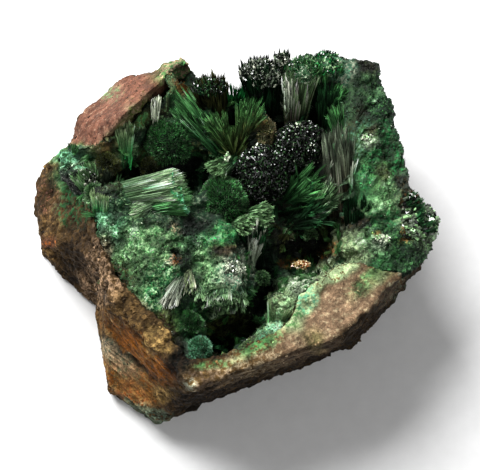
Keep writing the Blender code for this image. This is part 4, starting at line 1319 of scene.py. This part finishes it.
def chipPiece(name, centres, ways, colours, widths, chance):
    # broken grains: octahedra with every corner out of true
    corners = np.array([(1, 0, 0), (0, 1, 0), (-1, 0, 0), (0, -1, 0), (0, 0, 1), (0, 0, -1)], float)
    x = unit(np.cross(ways, chance.normal(size=ways.shape)))
    y = np.cross(ways, x)
    shape = corners[None] * chance.uniform(*grainShape["corner"], (len(centres), 6, 1))
    shape = shape + chance.normal(0.0, grainShape["uneven"], shape.shape)
    shape[:, :, 2] *= grainShape["flat"]
    verts = shape[:, :, :1] * x[:, None] + shape[:, :, 1:2] * y[:, None] + shape[:, :, 2:] * ways[:, None]
    verts = centres[:, None] + verts * (widths * mm * 0.5)[:, None, None]
    faces = []
    for k in range(4):
        j = (k + 1) % 4
        faces += [(k, j, 4), (j, k, 5)]
    gloss = np.full(len(centres) * 6, grainShape["gloss"])
    return arrayPiece(name, verts, np.array(faces), np.repeat(colours[:, None], 6, 1), gloss)


# broken bits standing out of the rock and lying over its seam with the malachite
chipLook = {
    "chips": 14000,
    "size": (0.22, 1.1),
    "smallness": 2.5,
    "sink": 0.10,
    "lowest": 1.5,
    "facingUp": 0.3,
    "shares": (0.35, 0.65),      # everywhere, and more on what faces up
    "smoothLoss": 0.6,           # smoother patches have smaller bits
    "tone": (-0.15, 0.45),
    "brightest": 0.8,
    "lean": 0.5,
}


def onRock(centres, ways):
    everywhere, more = chipLook["shares"]
    above = centres[:, 2] > chipLook["lowest"] * mm
    return above * (everywhere + more * (ways[:, 2] > chipLook["facingUp"]))


feet, ways, _, chance = samplesOf(rock, chipLook["chips"], 71, onRock)
weights = patchWeights(feet, ways, rockPatches)
smoothness = sum(
    weightOf(weights, rockPatches, name) * (1.0 - kept) for name, kept in rockLook["smooth"].items()
)
shift, spread = chipLook["tone"]
colours = patchColours(feet, ways, rockPatches, plainRock, chance) * varied(chance, spread, len(feet), shift)
ways = unit(ways + chance.normal(0.0, chipLook["lean"], ways.shape))
chipSize = chance.uniform(0.0, 1.0, len(feet)) ** chipLook["smallness"]
chipSize = chipSize * (1.0 - chipLook["smoothLoss"] * smoothness)
smallest, largest = chipLook["size"]
chipSize = smallest + (largest - smallest) * chipSize
feet = feet - ways * chipLook["sink"] * mm
rockChips = chipPiece("rockChips", feet, ways, np.clip(colours, 0.0, chipLook["brightest"]), chipSize, chance)

# loose grains on the malachite
grainLook = {
    "grains": 9000,
    "size": (0.15, 0.65),
    # painted shade in the pits, and how much lighter the tops are
    "shade": (0.25, 0.9),
    "tone": (-0.2, 0.3),
    "brightest": 0.85,
    "white": (0.015, 0.22),      # share of grains painted as glints, and the share more where they are painted
    "whiteSize": 0.55,
    # where the painted glints stand: x, y, reach across and up in the picture
    "glitter": [(107, 222, 12, 15), (238, 265, 12, 8), (383, 243, 9, 5), (368, 140, 8, 6), (150, 300, 12, 7)],
}
feet, ways, tops, chance = bedSamples(grainLook["grains"], 61, onShelf)
dark, lighter = grainLook["shade"]
shift, spread = grainLook["tone"]
colours = patchColours(feet, ways, crustPatches, plainCrust, chance) * (dark + lighter * tops**1.5)[:, None]
colours = colours * varied(chance, spread, len(feet), shift)
# painted glints: frost-coloured grains, most near the spots
part, more = grainLook["white"]
white = (chance.uniform(0.0, 1.0, len(feet)) < part + more * litAt(feet, grainLook["glitter"]))[:, None]
colours = np.clip(np.where(white, tint["frost"], colours), 0.0, grainLook["brightest"])
grainSize = chance.uniform(*grainLook["size"], len(feet)) * np.where(white[:, 0], grainLook["whiteSize"], 1.0)
growths.append(chipPiece("crustGrains", feet, ways, colours, grainSize, chance))


def newMaterial(name):
    made = bpy.data.materials.new(name)
    made.use_nodes = True
    tree = made.node_tree
    return made, tree, tree.nodes["Principled BSDF"]


def addNode(tree, kind, **values):
    node = tree.nodes.new(kind)
    for key, value in values.items():
        if hasattr(node, key):
            setattr(node, key, value)
        else:
            node.inputs[key.replace("_", " ")].default_value = value
    return node


def colourOf(tree, name):
    return addNode(tree, "ShaderNodeVertexColor", layer_name=name)


def grain(tree, scale, detail=4.0, rough=0.6):
    spots = addNode(tree, "ShaderNodeTexNoise", Scale=scale, Detail=detail, Roughness=rough)
    where = addNode(tree, "ShaderNodeTexCoord")
    tree.links.new(where.outputs["Object"], spots.inputs["Vector"])
    return spots.outputs["Fac"]


def cells(tree, scale):
    # one random value for each small grain
    grains = addNode(tree, "ShaderNodeTexVoronoi", Scale=scale)
    where = addNode(tree, "ShaderNodeTexCoord")
    tree.links.new(where.outputs["Object"], grains.inputs["Vector"])
    parts = addNode(tree, "ShaderNodeSeparateColor")
    tree.links.new(grains.outputs["Color"], parts.inputs[0])
    return parts.outputs[0]


def remap(tree, value, low, high, newLow, newHigh):
    node = addNode(tree, "ShaderNodeMapRange")
    for socket, number in zip(node.inputs[1:5], (low, high, newLow, newHigh)):
        socket.default_value = number
    tree.links.new(value, node.inputs[0])
    return node.outputs[0]


def arithmetic(tree, operation, a, b):
    node = addNode(tree, "ShaderNodeMath", operation=operation)
    for socket, value in zip(node.inputs, (a, b)):
        if isinstance(value, (int, float)):
            socket.default_value = value
        else:
            tree.links.new(value, socket)
    return node.outputs[0]


def mixColours(tree, share, a, b, blend="MIX"):
    node = addNode(tree, "ShaderNodeMix", data_type="RGBA", blend_type=blend)
    for socket, value in ((node.inputs["Factor"], share), (node.inputs[6], a), (node.inputs[7], b)):
        if isinstance(value, float):
            socket.default_value = value
        else:
            tree.links.new(value, socket)
    return node.outputs[2]


def greyOf(tree, value):
    # one value as a grey
    grey = addNode(tree, "ShaderNodeCombineColor")
    for socket in grey.inputs:
        tree.links.new(value, socket)
    return grey.outputs[0]


noiseSpan = (0.3, 0.7)      # what a noise mostly stays between


def mottled(name, fleckScale, fineScale, roughness, bump, shine, contrast):
    # ground colour broken by crisp flecks, with finer light and dark grain over both
    fleckLevel, fleckEdge, reliefDepth = 0.93, 0.05, 0.25 * mm
    made, tree, shader = newMaterial(name)
    ground, fleck = colourOf(tree, "ground"), colourOf(tree, "fleck")
    spots = grain(tree, fleckScale, 6.0, 0.65)
    level = arithmetic(tree, "ADD", spots, fleck.outputs["Alpha"])
    level = arithmetic(tree, "SUBTRACT", level, fleckLevel)
    mask = remap(tree, level, -fleckEdge, fleckEdge, 0.0, 1.0)
    colour = mixColours(tree, mask, ground.outputs["Color"], fleck.outputs["Color"])
    fine = remap(tree, grain(tree, fineScale, 5.0, 0.7), *noiseSpan, 0.45, 1.55)
    broad = remap(tree, grain(tree, fleckScale * 0.5, 3.0), *noiseSpan, 1.0 - contrast, 1.0 + contrast)
    light = arithmetic(tree, "MULTIPLY", fine, broad)
    glitter = 0.9 * contrast
    sparkle = remap(tree, cells(tree, fineScale * 0.6), 0.0, 1.0, 1.0 - glitter, 1.0 + glitter)
    light = arithmetic(tree, "MULTIPLY", light, sparkle)
    shader.inputs["Specular IOR Level"].default_value = shine
    colour = mixColours(tree, 1.0, colour, greyOf(tree, light), "MULTIPLY")
    tree.links.new(colour, shader.inputs["Base Color"])
    rough = remap(tree, grain(tree, fineScale * 0.5), *noiseSpan, *roughness)
    tree.links.new(rough, shader.inputs["Roughness"])
    relief = addNode(tree, "ShaderNodeBump", Strength=bump, Distance=reliefDepth)
    tree.links.new(grain(tree, fineScale, 5.0, 0.75), relief.inputs["Height"])
    tree.links.new(relief.outputs["Normal"], shader.inputs["Normal"])
    return made


def fibrous(name, lowRough, highRough, shine):
    # each needle's own tint, a little uneven, and shinier where its gloss is high
    made, tree, shader = newMaterial(name)
    shader.inputs["Specular IOR Level"].default_value = shine
    own = colourOf(tree, "tint")
    fine = remap(tree, grain(tree, 2600.0, 3.0), *noiseSpan, 0.75, 1.25)
    colour = mixColours(tree, 1.0, own.outputs["Color"], greyOf(tree, fine), "MULTIPLY")
    tree.links.new(colour, shader.inputs["Base Color"])
    rough = remap(tree, own.outputs["Alpha"], 0.0, 1.0, highRough, lowRough)
    tree.links.new(rough, shader.inputs["Roughness"])
    return made


rockStone = mottled("brokenOreRock", 1000.0, 3200.0, (0.7, 1.0), 0.9, 0.14, 0.34)
bedStone = mottled("malachiteGround", 1300.0, 4000.0, (0.4, 0.8), 0.9, 0.25, 0.5)
fibreStone = fibrous("malachiteFibre", 0.25, 0.65, 0.25)
glassStone = fibrous("blackMalachite", 0.08, 0.3, 0.7)
chipStone = fibrous("oreChips", 0.6, 0.9, 0.2)

glassy = ("blackDomes", "hardCrystals")
rows = [(rock, "matrix", "ore_rock", rockStone), (rockChips, "matrix", "ore_rock", chipStone)]
rows += [(bed, "malachite_crust", "malachite", bedStone)]
for growth in growths:
    finish = glassStone if growth.name in glassy else fibreStone
    rows += [(growth, "malachite_crust", "malachite", finish)]
for piece, node, slotName, finish in rows:
    piece.data.materials.append(finish)
    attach(piece, "root")
    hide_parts(node)
print("materials set")

# floor, lights and surroundings
studio = {
    "floorSize": 4.0,
    "paper": (0.80, 0.84),
    "key": {"place": (-0.19, 0.26, 0.40), "size": 0.30, "power": 6.0},
    "fill": {"place": (0.35, -0.45, 0.55), "size": 0.7, "power": 1.9},
    "world": 0.19,
}
bpy.ops.object.select_all(action="DESELECT")
bpy.ops.mesh.primitive_plane_add(size=studio["floorSize"], location=(0.0, 0.0, 0.0))
floor = bpy.context.object
floor.name = "studioFloor"
bpy.ops.object.transform_apply(location=True, rotation=True, scale=True)
paper, paperTree, paperShader = newMaterial("palePaper")
paperTone = remap(paperTree, grain(paperTree, 300.0), *noiseSpan, *studio["paper"])
paperShader.inputs["Roughness"].default_value = 0.7
paperTree.links.new(greyOf(paperTree, paperTone), paperShader.inputs["Base Color"])
floor.data.materials.append(paper)

for name in ("key", "fill"):
    light = studio[name]
    bpy.ops.object.select_all(action="DESELECT")
    bpy.ops.object.light_add(type="AREA", location=light["place"])
    lamp = bpy.context.object
    lamp.name = name + "Light"
    lamp.data.size = light["size"]
    lamp.data.energy = light["power"]
    lamp.rotation_euler = Vector(light["place"]).to_track_quat("Z", "Y").to_euler()
world = bpy.data.worlds.new("studioWorld")
world.use_nodes = True
world.node_tree.nodes["Background"].inputs["Color"].default_value = (1.0, 1.0, 1.0, 1.0)
world.node_tree.nodes["Background"].inputs["Strength"].default_value = studio["world"]
bpy.context.scene.world = world
bpy.context.scene.view_settings.view_transform = "Standard"
print("studio set")
